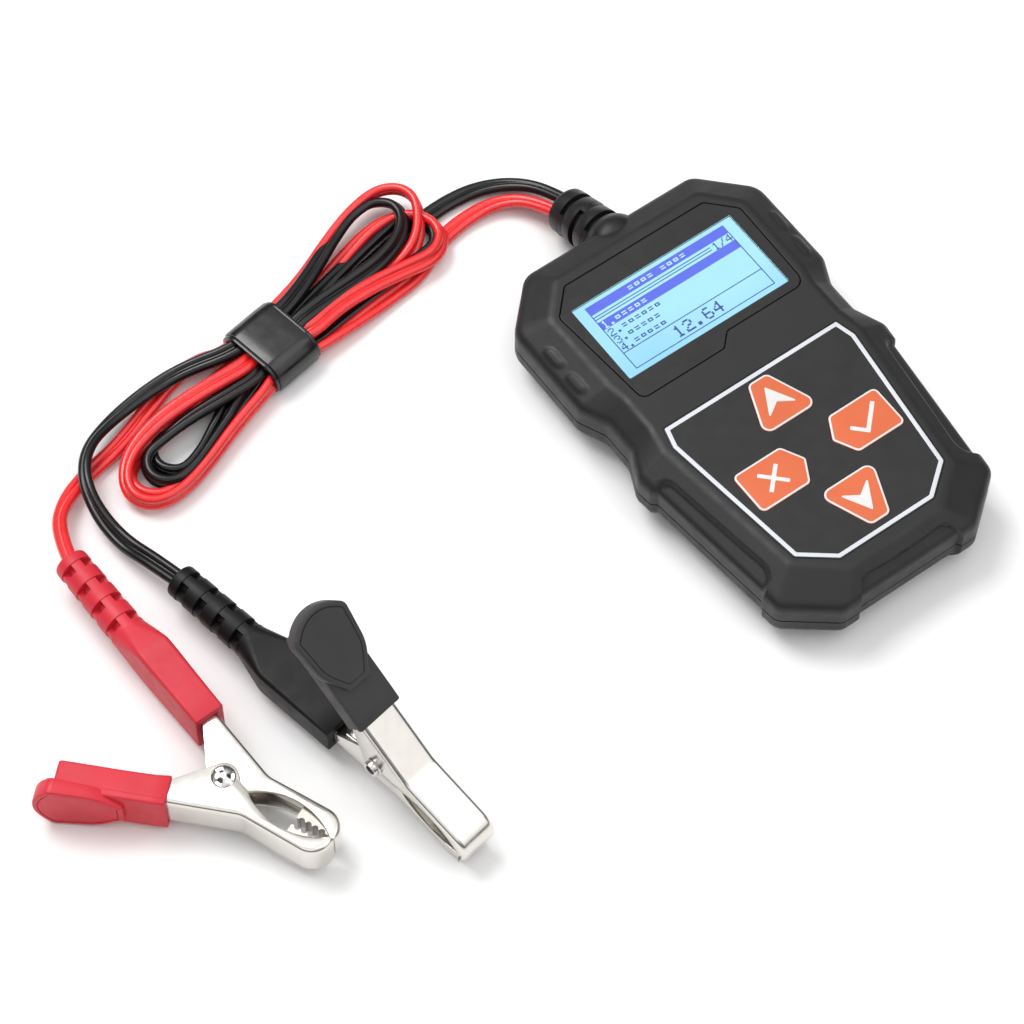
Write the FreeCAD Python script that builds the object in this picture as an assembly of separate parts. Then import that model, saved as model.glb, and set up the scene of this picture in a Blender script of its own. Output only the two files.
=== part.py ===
"""Hand-held battery tester with two clamp leads, as separate solids, one STEP file each.

Millimetres, +Z up. The tester lies on its back on z = 0, its cable end points to +Y, and the
origin is under the middle of the housing. The two leads leave the cable end, are bundled in one
strapped hank to the left, and end in a red and a black spring clamp.
"""
import FreeCAD, Part
import math
import os

V = FreeCAD.Vector

# ---- housing: half outlines from the cable end to the foot, as (x, y, corner radius) ----
WALL_HALF = [(26.6, 62.5, 5), (39.3, 49.6, 7), (39.3, 22.0, 5), (35.8, 14.5, 5),
             (35.8, 5.0, 5), (39.4, -3.0, 4), (33.9, -52.3, 4), (20.8, -62.5, 4)]
FACE_HALF = [(22.8, 54.3, 3), (31.0, 45.3, 4), (30.6, 21.0, 4), (29.8, 15.5, 4),
             (29.8, 5.0, 4), (31.0, -2.5, 3), (25.4, -46.3, 2.5), (14.3, -55.4, 2.5)]
BASE_HALF = [(24.0, 56.8, 4), (33.2, 47.3, 5), (33.2, 20.5, 4), (30.6, 14.6, 4),
             (30.6, 5.0, 4), (33.4, -2.8, 3), (28.6, -49.3, 3), (18.2, -57.0, 3)]
TOP_Z = 22.0                # front face
WALL_TOP_Z = 17.4           # where the bevel meets the side wall
PARTING_Z = 11.0            # joint between the two shells
WALL_FOOT_Z = 6.8           # where the side wall meets the lower bevel
SHELL = 2.2                 # wall thickness
CEILING_Z = TOP_Z - 2.0
FLOOR_Z = 2.0
POCKET_DEPTH = 1.3          # grip pockets in the lower sides and the foot

# ---- display ----
DISPLAY_Y = 31.7            # centre of the display window
WINDOW = (50.5, 25.0)
LENS_THICK = 0.8
LENS_GAP = 0.25             # the dark groove round the lens
LENS_OUTLINE = [(22.0, 51.2, 1.5), (28.7, 44.2, 2), (28.1, 16.6, 3), (3.2, 16.6, 1.5),
                (-0.6, 12.8, 1.5), (-26.0, 12.8, 2), (-28.7, 44.2, 2), (-22.0, 51.2, 1.5)]
LCD_TOP_Z = TOP_Z - LENS_THICK - 0.1
LCD_THICK = 1.7
BOARD_TOP_Z = 15.6
BOARD_THICK = 1.6

# ---- keypad ----
KEYPAD_HALF = [(27.4, 2.9, 0.8), (29.0, -3.2, 1.2), (23.7, -45.4, 1.2), (14.7, -52.4, 1.2)]
FILM_THICK = 0.4
KEY_PROUD = 0.3             # keys stand this far above the film
KEY_GAP = 0.25
KEY_TRAVEL = 0.35
KEY_MID_X = 0.3
KEY_MID_Y = -24.4
ARROW_KEY = [(-2.7, 24.3, 1.6), (2.7, 24.3, 1.6), (7.8, 11.0, 2.0), (-7.8, 11.0, 2.0)]
SIDE_KEY = [(7.6, 5.9, 1.6), (22.5, 5.9, 1.6), (22.5, -6.7, 1.6), (7.6, -6.7, 1.6), (4.2, -0.4, 1.2)]
STEM_R = 1.5
SWITCH_SIDE = 6.0
SWITCH_TOP_Z = 18.6
STEM_TOP_Z = 19.2

# ---- screws ----
SCREW_PLACES = [(26.0, 49.5), (-26.0, 49.5), (22.0, -46.5), (-22.0, -46.5)]
SCREW_R = 1.2
SCREW_HOLE_R = 1.25
BOSS_R = 3.0

# ---- cable gland ----
GLAND_START = V(0, 62.7, PARTING_Z)
GLAND_END = V(-1.6, 79.5, 7.0)
GLAND_R = 6.6
GLAND_NECK_R = 5.0
GLAND_RINGS = 3

# ---- leads: flat twin cord, drawn as a plain tube ----
LEAD_R = 2.0
BLACK_INNER = [(0.7, 78.6, 7.1), (-0.3, 88.0, 4.8), (-5.0, 96.0, 2.9), (-13.5, 100.8, 2.4),
               (-23.0, 102.0, 2.4), (-33.0, 101.0, 2.6)]
RED_INNER = [(-3.7, 78.3, 7.1), (-6.0, 87.2, 4.7), (-12.6, 92.9, 2.9), (-21.8, 94.2, 2.4),
             (-33.0, 92.6, 2.6)]
BLACK_OUTER = [(-97.7, 95.4, 4.9), (-110.0, 98.1, 3.2), (-122.5, 98.6, 3.0), (-133.5, 96.0, 5.4),
               (-142.3, 90.4, 7.7), (-147.6, 82.0, 7.4), (-149.7, 71.8, 5.0), (-148.6, 60.5, 5.0),
               (-146.4, 52.3, 7.0), (-144.75, 43.2, 8.7)]
RED_OUTER = [(-97.1, 91.4, 3.4), (-110.0, 93.4, 2.6), (-124.0, 92.7, 2.4), (-137.5, 89.8, 2.4),
             (-149.0, 86.3, 2.6), (-157.0, 80.3, 3.8), (-162.3, 73.3, 6.4), (-164.05, 63.2, 8.6)]

# ---- hank and strap: own frame, a along the bundle towards the tester, b across it ----
HANK_CENTRE = V(-87.0, 89.4, 0)
HANK_ANGLE = 10.0
HANK_LOW_Z, HANK_HIGH_Z = 0.3, 8.6
HANK_WAIST = (10.6, 9.6)    # half length and half width of the strapped waist
HANK_INNER_END = [(9.5, -8.4, 2), (24.0, -10.5, 6), (46.0, -11.5, 6), (55.5, -9.5, 3),
                  (55.5, 6.0, 6), (44.5, 15.5, 8), (24.0, 12.5, 8), (9.5, 9.4, 2)]
HANK_OUTER_END = [(-9.5, 1.6, 2), (-24.0, 3.0, 6), (-41.0, 5.0, 5), (-50.5, 4.0, 5),
                  (-56.5, -2.5, 5), (-55.5, -9.0, 6), (-46.0, -15.0, 6), (-28.0, -11.5, 8),
                  (-9.5, -8.4, 2)]
STRAP_LENGTH = 15.5
STRAP_THICK = 0.9
STRAP_GAP = 0.1

# ---- clamps: own frame, u from the pivot to the jaw tips, v across, w along the pivot ----
PLATE = 0.8
MOVING_HALF_W = 5.25        # half width of the outer, moving channel
FIXED_HALF_W = 4.3          # half width of the inner, fixed channel
HANDLE_TILT = math.radians(20.76)
BACK_KINK = (8.7, 6.4)      # where the jaw's back turns into the handle
JAW_TIP_U = 31.2
JAW_BACK_V = 6.6
TIP_RADIUS = 5.5
TIP_GAP = 0.15              # half the gap between the closed tips
PIVOT_LOBE = 3.9
RIVET_R = 1.9
RIVET_HEAD_R = 3.0
PIVOT_CLEARANCE = 0.05
HANDLE_DEPTH = 4.6
HANDLE_START_U = -11.0
HANDLE_LENGTH = 27.0
MOVING_HANDLE_LENGTH = 25.0
SLEEVE_IN, SLEEVE_OUT = -6.3, 1.8     # sleeve faces, from the metal's back
SLEEVE_HALF_W = 6.4
SLEEVE_BODY = 22.0
BOOT_START, BOOT_END = 33.0, 58.5
BOOT_MIDDLE = -3.0          # the boot's axis, from the metal's back
BOOT_R = 4.6
BOOT_SLOTS = 4
GRIP_LENGTH = 24.3
PAD_OUTLINE = [(7.5, -4.2, 1.6), (13.0, -6.9, 6), (25.0, -8.5, 1.8), (28.2, 0.0, 20),
               (25.0, 8.5, 1.8), (13.0, 6.9, 6), (7.5, 4.2, 1.6)]
PAD_FACE = 4.6
TEETH_V = 1.0
TEETH_HALF_W = 2.6
TEETH_PITCH = 1.9
TEETH_GAPS = 4
SPRING_R = 3.4
CRIMP_R = 1.7
WIRE_R = 0.55
RED_PIVOT = V(-167.4, -9.8, 8.6)
RED_HEADING = -67.1
BLACK_PIVOT = V(-131.9, -28.4, 15.7)
BLACK_HEADING = -79.8
BLACK_PITCH = -20.0

parts = {}


# ---------------------------------------------------------------- shape helpers
def mirrored(half):
    """Close a right-hand half outline with its mirror image in x."""
    return half + [(-x, y, r) for x, y, r in reversed(half)]


def inset(points, distance):
    """Move every side of a closed outline inwards by distance."""
    count = len(points)
    area = sum(points[i][0] * points[(i + 1) % count][1] - points[(i + 1) % count][0] * points[i][1]
               for i in range(count))
    side = 1.0 if area > 0 else -1.0
    result = []
    for i in range(count):
        x0, y0 = points[i - 1][:2]
        x1, y1, r = points[i]
        x2, y2 = points[(i + 1) % count][:2]
        before = V(x1 - x0, y1 - y0, 0).normalize()
        after = V(x2 - x1, y2 - y1, 0).normalize()
        normal_a = V(-before.y, before.x, 0) * side
        normal_b = V(-after.y, after.x, 0) * side
        shift = (normal_a + normal_b) * (distance / (1 + normal_a.dot(normal_b)))
        result.append((x1 + shift.x, y1 + shift.y, max(r - distance, 0.4)))
    return result


def rounded_wire(points, z=0.0):
    """Closed wire through (x, y, radius) corners, each rounded by an arc."""
    count = len(points)
    corners = []
    for i in range(count):
        here = V(points[i][0], points[i][1], z)
        to_last = (V(points[i - 1][0], points[i - 1][1], z) - here).normalize()
        following = points[(i + 1) % count]
        to_next = (V(following[0], following[1], z) - here).normalize()
        half_turn = (math.pi - to_last.getAngle(to_next)) / 2
        radius = points[i][2]
        cut = radius * math.tan(half_turn)
        bisector = (to_last + to_next).normalize()
        middle = here + bisector * (radius / math.cos(half_turn) - radius)
        corners.append((here + to_last * cut, middle, here + to_next * cut))
    edges = []
    for i in range(count):
        start, middle, end = corners[i]
        edges.append(Part.Arc(start, middle, end).toShape())
        edges.append(Part.LineSegment(end, corners[(i + 1) % count][0]).toShape())
    return Part.Wire(edges)


def prism(points, low, high):
    return Part.Face(rounded_wire(points, low)).extrude(V(0, 0, high - low))


def skinned(*sections):
    """Straight-sided solid through (outline, z) sections with the same corner count."""
    return Part.makeLoft([rounded_wire(points, z) for points, z in sections], True, True)


def box(x0, y0, z0, x1, y1, z1):
    return Part.makeBox(x1 - x0, y1 - y0, z1 - z0, V(x0, y0, z0))


def rod(radius, start, end):
    return Part.makeCylinder(radius, (end - start).Length, start, end - start)


def cone(radius_a, radius_b, start, end):
    return Part.makeCone(radius_a, radius_b, (end - start).Length, start, end - start)


def group(shapes):
    return Part.makeCompound(shapes)


def shifted(points, dx, dy):
    return [(x + dx, y + dy, r) for x, y, r in points]


# ---------------------------------------------------------------- housing
WALL = mirrored(WALL_HALF)
FACE = mirrored(FACE_HALF)
BASE = mirrored(BASE_HALF)


def grip_pockets():
    """Cutters for the shallow pockets in the two lower sides and in the foot."""
    high = WALL_TOP_Z + 0.7
    low = WALL_FOOT_Z - 2.4
    (hip_x, hip_y, _), (foot_x, foot_y, _) = WALL_HALF[5], WALL_HALF[6]

    def side_x(y):
        return hip_x + (foot_x - hip_x) * (y - hip_y) / (foot_y - hip_y) - POCKET_DEPTH

    top_y, end_y, out_x = -9.0, -46.5, 45.0
    right = [(side_x(top_y), top_y, 1), (out_x, top_y + 4, 1), (out_x, end_y - 4, 1),
             (side_x(end_y), end_y, 1)]
    left = [(-x, y, r) for x, y, r in right]
    foot = [(-15.5, foot_y_inner(), 1), (15.5, foot_y_inner(), 1), (17.5, -67.0, 1), (-17.5, -67.0, 1)]
    return [prism(outline, low, high) for outline in (right, left, foot)]


def foot_y_inner():
    return WALL_HALF[-1][1] + POCKET_DEPTH


def gland_hole():
    return rod(GLAND_NECK_R + 0.1, V(0, 55, PARTING_Z), V(0, 70, PARTING_Z))


def front_housing():
    shell = skinned((WALL, PARTING_Z), (WALL, WALL_TOP_Z), (FACE, TOP_Z))
    room = skinned((inset(WALL, SHELL), PARTING_Z - 1), (inset(WALL, SHELL), WALL_TOP_Z - 0.6),
                   (inset(FACE, SHELL - 0.2), CEILING_Z))
    bosses = [rod(BOSS_R, V(x, y, PARTING_Z + 0.2), V(x, y, CEILING_Z + 0.5)) for x, y in SCREW_PLACES]
    shell = shell.cut(room).fuse([boss.common(room) for boss in bosses])
    cuts = grip_pockets()
    cuts += [rod(SCREW_HOLE_R, V(x, y, 0), V(x, y, CEILING_Z - 1.5)) for x, y in SCREW_PLACES]
    cuts.append(prism(inset(LENS_OUTLINE, -LENS_GAP), TOP_Z - LENS_THICK, TOP_Z + 1))
    cuts.append(window_block(WINDOW[0] + 1.4, WINDOW[1] + 1.4, CEILING_Z - 2, TOP_Z + 1))
    cuts.append(prism(mirrored(KEYPAD_HALF), TOP_Z - FILM_THICK, TOP_Z + 1))
    for outline, centre in keys().values():
        cuts.append(prism(inset(outline, -KEY_GAP), TOP_Z - FILM_THICK - 0.5, TOP_Z + 1))
        cuts.append(rod(STEM_R + 0.3, centre + V(0, 0, 15), centre + V(0, 0, TOP_Z)))
    cuts.append(gland_hole())
    return shell.cut(cuts).removeSplitter()


def rear_housing():
    shell = skinned((BASE, 0), (WALL, WALL_FOOT_Z), (WALL, PARTING_Z))
    room = skinned((inset(BASE, SHELL), FLOOR_Z), (inset(WALL, SHELL), WALL_FOOT_Z + 0.4),
                   (inset(WALL, SHELL), PARTING_Z + 1))
    posts = [rod(BOSS_R + 0.6, V(x, y, 0.5), V(x, y, PARTING_Z - 0.1)) for x, y in SCREW_PLACES]
    shell = shell.cut(room).fuse([post.common(room) for post in posts])
    cuts = grip_pockets()
    for x, y in SCREW_PLACES:
        cuts.append(rod(SCREW_HOLE_R, V(x, y, -1), V(x, y, PARTING_Z + 1)))
        cuts.append(rod(2.7, V(x, y, -1), V(x, y, 2.6)))
    cuts.append(gland_hole())
    return shell.cut(cuts).removeSplitter()


def housing_screws():
    screws = []
    for x, y in SCREW_PLACES:
        head = rod(2.5, V(x, y, 0.9), V(x, y, 2.6))
        slot_a = box(x - 1.5, y - 0.3, 0, x + 1.5, y + 0.3, 1.7)
        slot_b = box(x - 0.3, y - 1.5, 0, x + 0.3, y + 1.5, 1.7)
        shank = rod(SCREW_R, V(x, y, 2.6), V(x, y, 17.0))
        screws.append(head.cut([slot_a, slot_b]).fuse(shank))
    return group(screws)


# ---------------------------------------------------------------- display and keypad
def window_block(width, height, low, high):
    return box(-width / 2, DISPLAY_Y - height / 2, low, width / 2, DISPLAY_Y + height / 2, high)


def keys():
    """Outline and centre of each key."""
    flipped = [(x, -y, r) for x, y, r in reversed(ARROW_KEY)]
    opposite = [(-x, -y - 0.8, r) for x, y, r in SIDE_KEY]
    places = {"key_up": (ARROW_KEY, V(0, 17, 0)), "key_down": (flipped, V(0, -17, 0)),
              "key_enter": (SIDE_KEY, V(13.5, -0.4, 0)), "key_exit": (opposite, V(-13.5, -0.4, 0))}
    return {name: (shifted(outline, KEY_MID_X, KEY_MID_Y), centre + V(KEY_MID_X, KEY_MID_Y, 0))
            for name, (outline, centre) in places.items()}


def keypad_film():
    film = prism(inset(mirrored(KEYPAD_HALF), 0.05), TOP_Z - FILM_THICK, TOP_Z)
    return film.cut([prism(inset(outline, -KEY_GAP), 0, TOP_Z + 1) for outline, _ in keys().values()])


def key_cap(outline, centre):
    cap = prism(outline, TOP_Z - FILM_THICK, TOP_Z + KEY_PROUD)
    return cap.fuse(rod(STEM_R, centre + V(0, 0, STEM_TOP_Z), centre + V(0, 0, TOP_Z)))


def tactile_switch(centre):
    half = SWITCH_SIDE / 2
    case = box(centre.x - half, centre.y - half, BOARD_TOP_Z, centre.x + half, centre.y + half, SWITCH_TOP_Z)
    return case.cut(rod(STEM_R + 0.05, centre + V(0, 0, BOARD_TOP_Z + 0.8), centre + V(0, 0, TOP_Z)))


def lcd_frame():
    ring = window_block(54.0, 29.0, BOARD_TOP_Z, LCD_TOP_Z - LCD_THICK)
    return ring.cut(window_block(51.4, 26.2, BOARD_TOP_Z + 1.0, TOP_Z))


# ---------------------------------------------------------------- inside
def circuit_board():
    outline = inset(WALL, SHELL + 2.2)
    board = prism(outline, BOARD_TOP_Z - BOARD_THICK, BOARD_TOP_Z)
    return board.cut([rod(BOSS_R + 1.0, V(x, y, 0), V(x, y, TOP_Z)) for x, y in SCREW_PLACES])


def load_resistors():
    low = BOARD_TOP_Z - BOARD_THICK - 9.5
    high = BOARD_TOP_Z - BOARD_THICK
    return group([box(x - 5, -24, low, x + 5, 8, high) for x in (-15, 15)])


def chips():
    processor = box(-6, -2, BOARD_TOP_Z, 6, 10, BOARD_TOP_Z + 1.4)
    driver = box(13, 2, BOARD_TOP_Z, 19, 9, BOARD_TOP_Z + 1.6)
    amplifier = box(-19, 2, BOARD_TOP_Z, -13, 7, BOARD_TOP_Z + 1.5)
    return {"microcontroller": processor, "signal_chips": group([driver, amplifier])}


def buzzer():
    high = BOARD_TOP_Z - BOARD_THICK
    return rod(6.0, V(0, 22, high - 8.5), V(0, 22, high)).cut(rod(1.0, V(0, 22, 0), V(0, 22, high - 6)))


def solder_terminals():
    high = BOARD_TOP_Z - BOARD_THICK
    return group([rod(1.6, V(x, 47, 9.2), V(x, 47, high)) for x in (-4.5, 4.5)])


def inner_wires():
    return group([rod(1.1, V(x, 48.8, PARTING_Z - 0.2), V(x * 0.55, 57.9, PARTING_Z)) for x in (-4.5, 4.5)])


def cable_gland():
    axis = (GLAND_END - GLAND_START).normalize()
    flange = box(-8, 58.2, PARTING_Z - 3.6, 8, 60.2, PARTING_Z + 5.4)
    neck = rod(GLAND_NECK_R, V(0, 60.2, PARTING_Z), V(0, 63.5, PARTING_Z))
    flare = cone(8.6, GLAND_R, GLAND_START, GLAND_START + V(0, 3.4, 0))
    barrel = rod(GLAND_R, GLAND_START + axis * 2.4, GLAND_END)
    solid = flange.fuse([neck, flare, barrel])
    for i in range(GLAND_RINGS):
        start = GLAND_START + axis * (5.0 + 4.0 * i)
        ring = rod(GLAND_R + 1, start, start + axis * 1.5).cut(rod(GLAND_R - 1.2, start, start + axis * 1.5))
        solid = solid.cut(ring)
    return solid


# ---------------------------------------------------------------- leads
def lead_tube(name, points):
    """Round tube along straight runs joined by the largest tangent arcs the runs allow."""
    route = [V(*p) for p in points]
    edges = []
    at = route[0]
    radii = []
    for last, corner, following in zip(route, route[1:], route[2:]):
        back = last - corner
        ahead = following - corner
        half_turn = (math.pi - back.getAngle(ahead)) / 2
        cut = 0.45 * min(back.Length, ahead.Length)
        radius = cut / math.tan(half_turn)
        radii.append(radius)
        back.normalize()
        ahead.normalize()
        middle = corner + (back + ahead).normalize() * (radius / math.cos(half_turn) - radius)
        start = corner + back * cut
        edges.append(Part.LineSegment(at, start).toShape())
        at = corner + ahead * cut
        edges.append(Part.Arc(start, middle, at).toShape())
    edges.append(Part.LineSegment(at, route[-1]).toShape())
    path = Part.Wire(edges)
    section = Part.Wire(Part.makeCircle(LEAD_R, route[0], route[1] - route[0]))
    tube = path.makePipeShell([section], True, False)
    expected = math.pi * LEAD_R ** 2 * path.Length
    print(name, "length %.1f" % path.Length, "least radius %.1f" % min(radii),
          "volume / expected %.4f" % (tube.Volume / expected), "valid", tube.isValid())
    return tube


def in_hank_frame(shape):
    shape.rotate(V(0, 0, 0), V(0, 0, 1), HANK_ANGLE)
    shape.translate(HANK_CENTRE)
    return shape


def band_core(grow, half_length):
    """Rounded bar along the bundle: the waist's section, grown all round."""
    half_width = HANK_WAIST[1] + grow
    low = STRAP_THICK + STRAP_GAP - grow
    high = HANK_HIGH_Z + 0.4 + grow
    corner = 3.0 + grow
    outline = [(low, -half_width, corner), (high, -half_width, corner),
               (high, half_width, corner), (low, half_width, corner)]
    bar = prism(outline, -half_length, half_length)
    bar.rotate(V(0, 0, 0), V(0, 1, 0), -90)
    return bar


def lead_hank():
    """Outer shape of the bundled leads: a waist inside the strap and a fan of loops each side."""
    lobes = [prism(HANK_INNER_END, HANK_LOW_Z, HANK_HIGH_Z - 0.6),
             prism(HANK_OUTER_END, HANK_LOW_Z, HANK_HIGH_Z - 1.2)]
    return in_hank_frame(band_core(0.0, HANK_WAIST[0]).fuse(lobes))


def cable_strap():
    """Closed band round the waist of the hank."""
    half_length = STRAP_LENGTH / 2
    outside = band_core(STRAP_GAP + STRAP_THICK, half_length)
    return in_hank_frame(outside.cut(band_core(STRAP_GAP, half_length + 1)))


# ---------------------------------------------------------------- clamps
ALONG = V(-math.cos(HANDLE_TILT), math.sin(HANDLE_TILT), 0)     # from the pivot out along the handle
OUT = V(math.sin(HANDLE_TILT), math.cos(HANDLE_TILT), 0)        # out of the handle's back
HANDLE_START = V(HANDLE_START_U, BACK_KINK[1] + (BACK_KINK[0] - HANDLE_START_U) * math.tan(HANDLE_TILT), 0)


def on_handle(t, n, w=0.0):
    return HANDLE_START + ALONG * t + OUT * n + V(0, 0, w)


def jaw_profile(handle_length):
    """Side view of one stamped jaw and its handle, back edge at +v, as a face."""
    end_back = on_handle(handle_length, 0)
    end_inner = on_handle(handle_length, -HANDLE_DEPTH)
    shoulder = on_handle(-0.5, -HANDLE_DEPTH)
    kink = V(*BACK_KINK, 0)
    tip_top = V(JAW_TIP_U - TIP_RADIUS, JAW_BACK_V, 0)
    corner_cut = TIP_RADIUS * (1 - math.sqrt(0.5))
    tip_mid = V(JAW_TIP_U - corner_cut, JAW_BACK_V - corner_cut, 0)
    tip_low = V(JAW_TIP_U, JAW_BACK_V - TIP_RADIUS, 0)
    lip = V(JAW_TIP_U, TIP_GAP, 0)
    mouth_front = V(JAW_TIP_U - 1.0, TIP_GAP, 0)
    mouth_top = V(19.5, 4.2, 0)
    mouth_back = V(6.9, TIP_GAP, 0)
    lobe = [V(PIVOT_LOBE * math.cos(a), PIVOT_LOBE * math.sin(a), 0)
            for a in (math.radians(-20), math.radians(-90), math.radians(-150))]
    edges = [Part.LineSegment(end_back, kink), Part.LineSegment(kink, tip_top),
             Part.Arc(tip_top, tip_mid, tip_low), Part.LineSegment(tip_low, lip),
             Part.LineSegment(lip, mouth_front), Part.Arc(mouth_front, mouth_top, mouth_back),
             Part.LineSegment(mouth_back, lobe[0]), Part.Arc(*lobe), Part.LineSegment(lobe[2], shoulder),
             Part.LineSegment(shoulder, end_inner), Part.LineSegment(end_inner, end_back)]
    return Part.Face(Part.Wire([edge.toShape() for edge in edges]))


def jaw_channel(half_width, hole_radius, handle_length):
    """Stamped channel: two side plates joined by a web along the back."""
    solid = jaw_profile(handle_length).extrude(V(0, 0, 2 * half_width))
    solid.translate(V(0, 0, -half_width))
    far = on_handle(60, 0)
    inside = [(far.x, far.y, 0.4), (BACK_KINK[0], BACK_KINK[1], 7), (JAW_TIP_U, JAW_BACK_V, TIP_RADIUS),
              (JAW_TIP_U, -20, 0.4), (far.x, -20, 0.4)]
    room = prism(inset(inside, PLATE), PLATE - half_width, half_width - PLATE)
    hole = rod(hole_radius, V(0, 0, -half_width - 1), V(0, 0, half_width + 1))
    return solid.cut([room, hole])


def sleeve_section(t, low, high, half_width, radius):
    """Rounded rectangle across the handle, t along it."""
    flat = rounded_wire([(low, -half_width, radius), (high, -half_width, radius),
                         (high, half_width, radius), (low, half_width, radius)])
    matrix = FreeCAD.Matrix(OUT.x, 0, ALONG.x, 0, OUT.y, 0, ALONG.y, 0, 0, 1, 0, 0, 0, 0, 0, 1)
    wire = flat.transformed(matrix, True)
    wire.translate(on_handle(t, 0))
    return wire


def handle_block(t0, t1, low, high, half_width, radius=0.8):
    return Part.makeLoft([sleeve_section(t, low, high, half_width, radius) for t in (t0, t1)], True, True)


def boot():
    """Sleeve of the fixed handle, running out into the slotted strain relief."""
    middle = BOOT_MIDDLE
    sections = [sleeve_section(0, SLEEVE_IN, SLEEVE_OUT, SLEEVE_HALF_W, 0.8),
                sleeve_section(SLEEVE_BODY, SLEEVE_IN - 0.4, SLEEVE_OUT + 0.4, SLEEVE_HALF_W, 1.2),
                sleeve_section(BOOT_START + 0.5, middle - BOOT_R + 0.6, middle + BOOT_R - 0.6,
                               BOOT_R - 0.6, BOOT_R - 0.85)]
    solid = Part.makeLoft(sections, True, True)
    solid = solid.fuse(rod(BOOT_R, on_handle(BOOT_START, middle), on_handle(BOOT_END, middle)))
    pitch = (BOOT_END - BOOT_START - 3.0) / BOOT_SLOTS
    slots = []
    for i in range(BOOT_SLOTS):
        t = BOOT_START + 1.5 + pitch * i
        for sign in (-1, 1):
            slots.append(handle_block(t, t + 2.2, middle - 2.2, middle + 2.2, 1.0).translated(
                V(0, 0, sign * (BOOT_R - 0.4))))
            slots.append(handle_block(t + pitch / 2, t + pitch / 2 + 2.2, middle - 1.0, middle + 1.0, 2.2)
                         .translated(OUT * (sign * (BOOT_R - 0.4))))
    cavity = handle_block(-1, HANDLE_LENGTH + 0.3, -HANDLE_DEPTH - 0.05, 0.05, FIXED_HALF_W + 0.05, 0.1)
    return solid.cut(slots + [cavity])


def grip():
    """Sleeve of the moving handle with its shield-shaped thumb pad."""
    sleeve = handle_block(0, GRIP_LENGTH, SLEEVE_IN, SLEEVE_OUT, SLEEVE_HALF_W)
    shoulder = sleeve_section(GRIP_LENGTH, SLEEVE_IN, SLEEVE_OUT, SLEEVE_HALF_W, 0.8)
    tip = sleeve_section(GRIP_LENGTH + 2.6, SLEEVE_IN + 1.6, SLEEVE_OUT, SLEEVE_HALF_W - 1.6, 0.8)
    nose = Part.makeLoft([shoulder, tip], True, True)
    matrix = FreeCAD.Matrix(ALONG.x, 0, OUT.x, 0, ALONG.y, 0, OUT.y, 0, 0, 1, 0, 0, 0, 0, 0, 1)
    pad = prism(PAD_OUTLINE, SLEEVE_OUT - 0.5, PAD_FACE).transformed(matrix, True)
    dish = prism(inset(PAD_OUTLINE, 1.5), PAD_FACE - 0.5, PAD_FACE + 1).transformed(matrix, True)
    pad.translate(HANDLE_START)
    dish.translate(HANDLE_START)
    cavity = handle_block(-1, MOVING_HANDLE_LENGTH + 0.2, -HANDLE_DEPTH - 0.05, 0.05,
                          MOVING_HALF_W + 0.05, 0.1)
    return sleeve.fuse([nose, pad]).cut([cavity, dish])


def under_back(u):
    """Inner face of the web over the mouth."""
    rise = (JAW_BACK_V - BACK_KINK[1]) / (JAW_TIP_U - BACK_KINK[0])
    return BACK_KINK[1] + rise * (u - BACK_KINK[0]) - PLATE


def teeth():
    """Comb pressed into the jaw behind its tip."""
    outline = [(19.8, under_back(19.8), 0.3), (25.5, under_back(25.5), 0.3), (29.3, 3.6, 0.3),
               (29.9, TEETH_V, 0.3), (19.8, TEETH_V, 0.3)]
    plate = prism(outline, -TEETH_HALF_W, TEETH_HALF_W)
    roots = [V(21.4 + TEETH_PITCH * i, TEETH_V - 0.1, -TEETH_HALF_W - 1) for i in range(TEETH_GAPS)]
    return plate.cut([rod(0.8, root, root + V(0, 0, 2 * TEETH_HALF_W + 2)) for root in roots])


def pivot_rivet():
    reach = MOVING_HALF_W + PIVOT_CLEARANCE
    heads = [rod(RIVET_HEAD_R, V(0, 0, s * reach), V(0, 0, s * (reach + 0.7))) for s in (-1, 1)]
    return rod(RIVET_R, V(0, 0, -reach), V(0, 0, reach)).fuse(heads)


def spring_coil():
    coil = rod(SPRING_R, V(0, 0, -3.0), V(0, 0, 3.0)).cut(rod(SPRING_R - 1.2, V(0, 0, -4), V(0, 0, 4)))
    return coil.fuse(rod(WIRE_R, V(-1.2, 2.6, 0), V(-10.0, 8.4, 0)))


def spring_arm():
    return rod(WIRE_R, V(-2.2, -4.4, 0), V(-10.0, -8.4, 0))


def wire_crimp():
    under_web = -PLATE - CRIMP_R
    return rod(CRIMP_R, on_handle(HANDLE_LENGTH - 6, under_web), on_handle(HANDLE_LENGTH + 0.3, under_web))


def flipped(shape):
    """The same piece on the moving side, at -v."""
    return shape.mirror(V(0, 0, 0), V(0, 1, 0))


def clamp(colour, placement):
    pieces = {
        "boot": boot(),
        "grip": flipped(grip()),
        "fixed_jaw": jaw_channel(FIXED_HALF_W, RIVET_R, HANDLE_LENGTH),
        "moving_jaw": flipped(jaw_channel(MOVING_HALF_W, RIVET_R + PIVOT_CLEARANCE, MOVING_HANDLE_LENGTH)),
        "fixed_teeth": teeth(),
        "moving_teeth": flipped(teeth()),
        "pivot_rivet": pivot_rivet(),
        "spring_coil": spring_coil(),
        "spring_arm": spring_arm(),
        "wire_crimp": wire_crimp(),
    }
    for name, shape in pieces.items():
        parts[colour + "_" + name] = shape.transformed(placement.toMatrix(), True)


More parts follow.
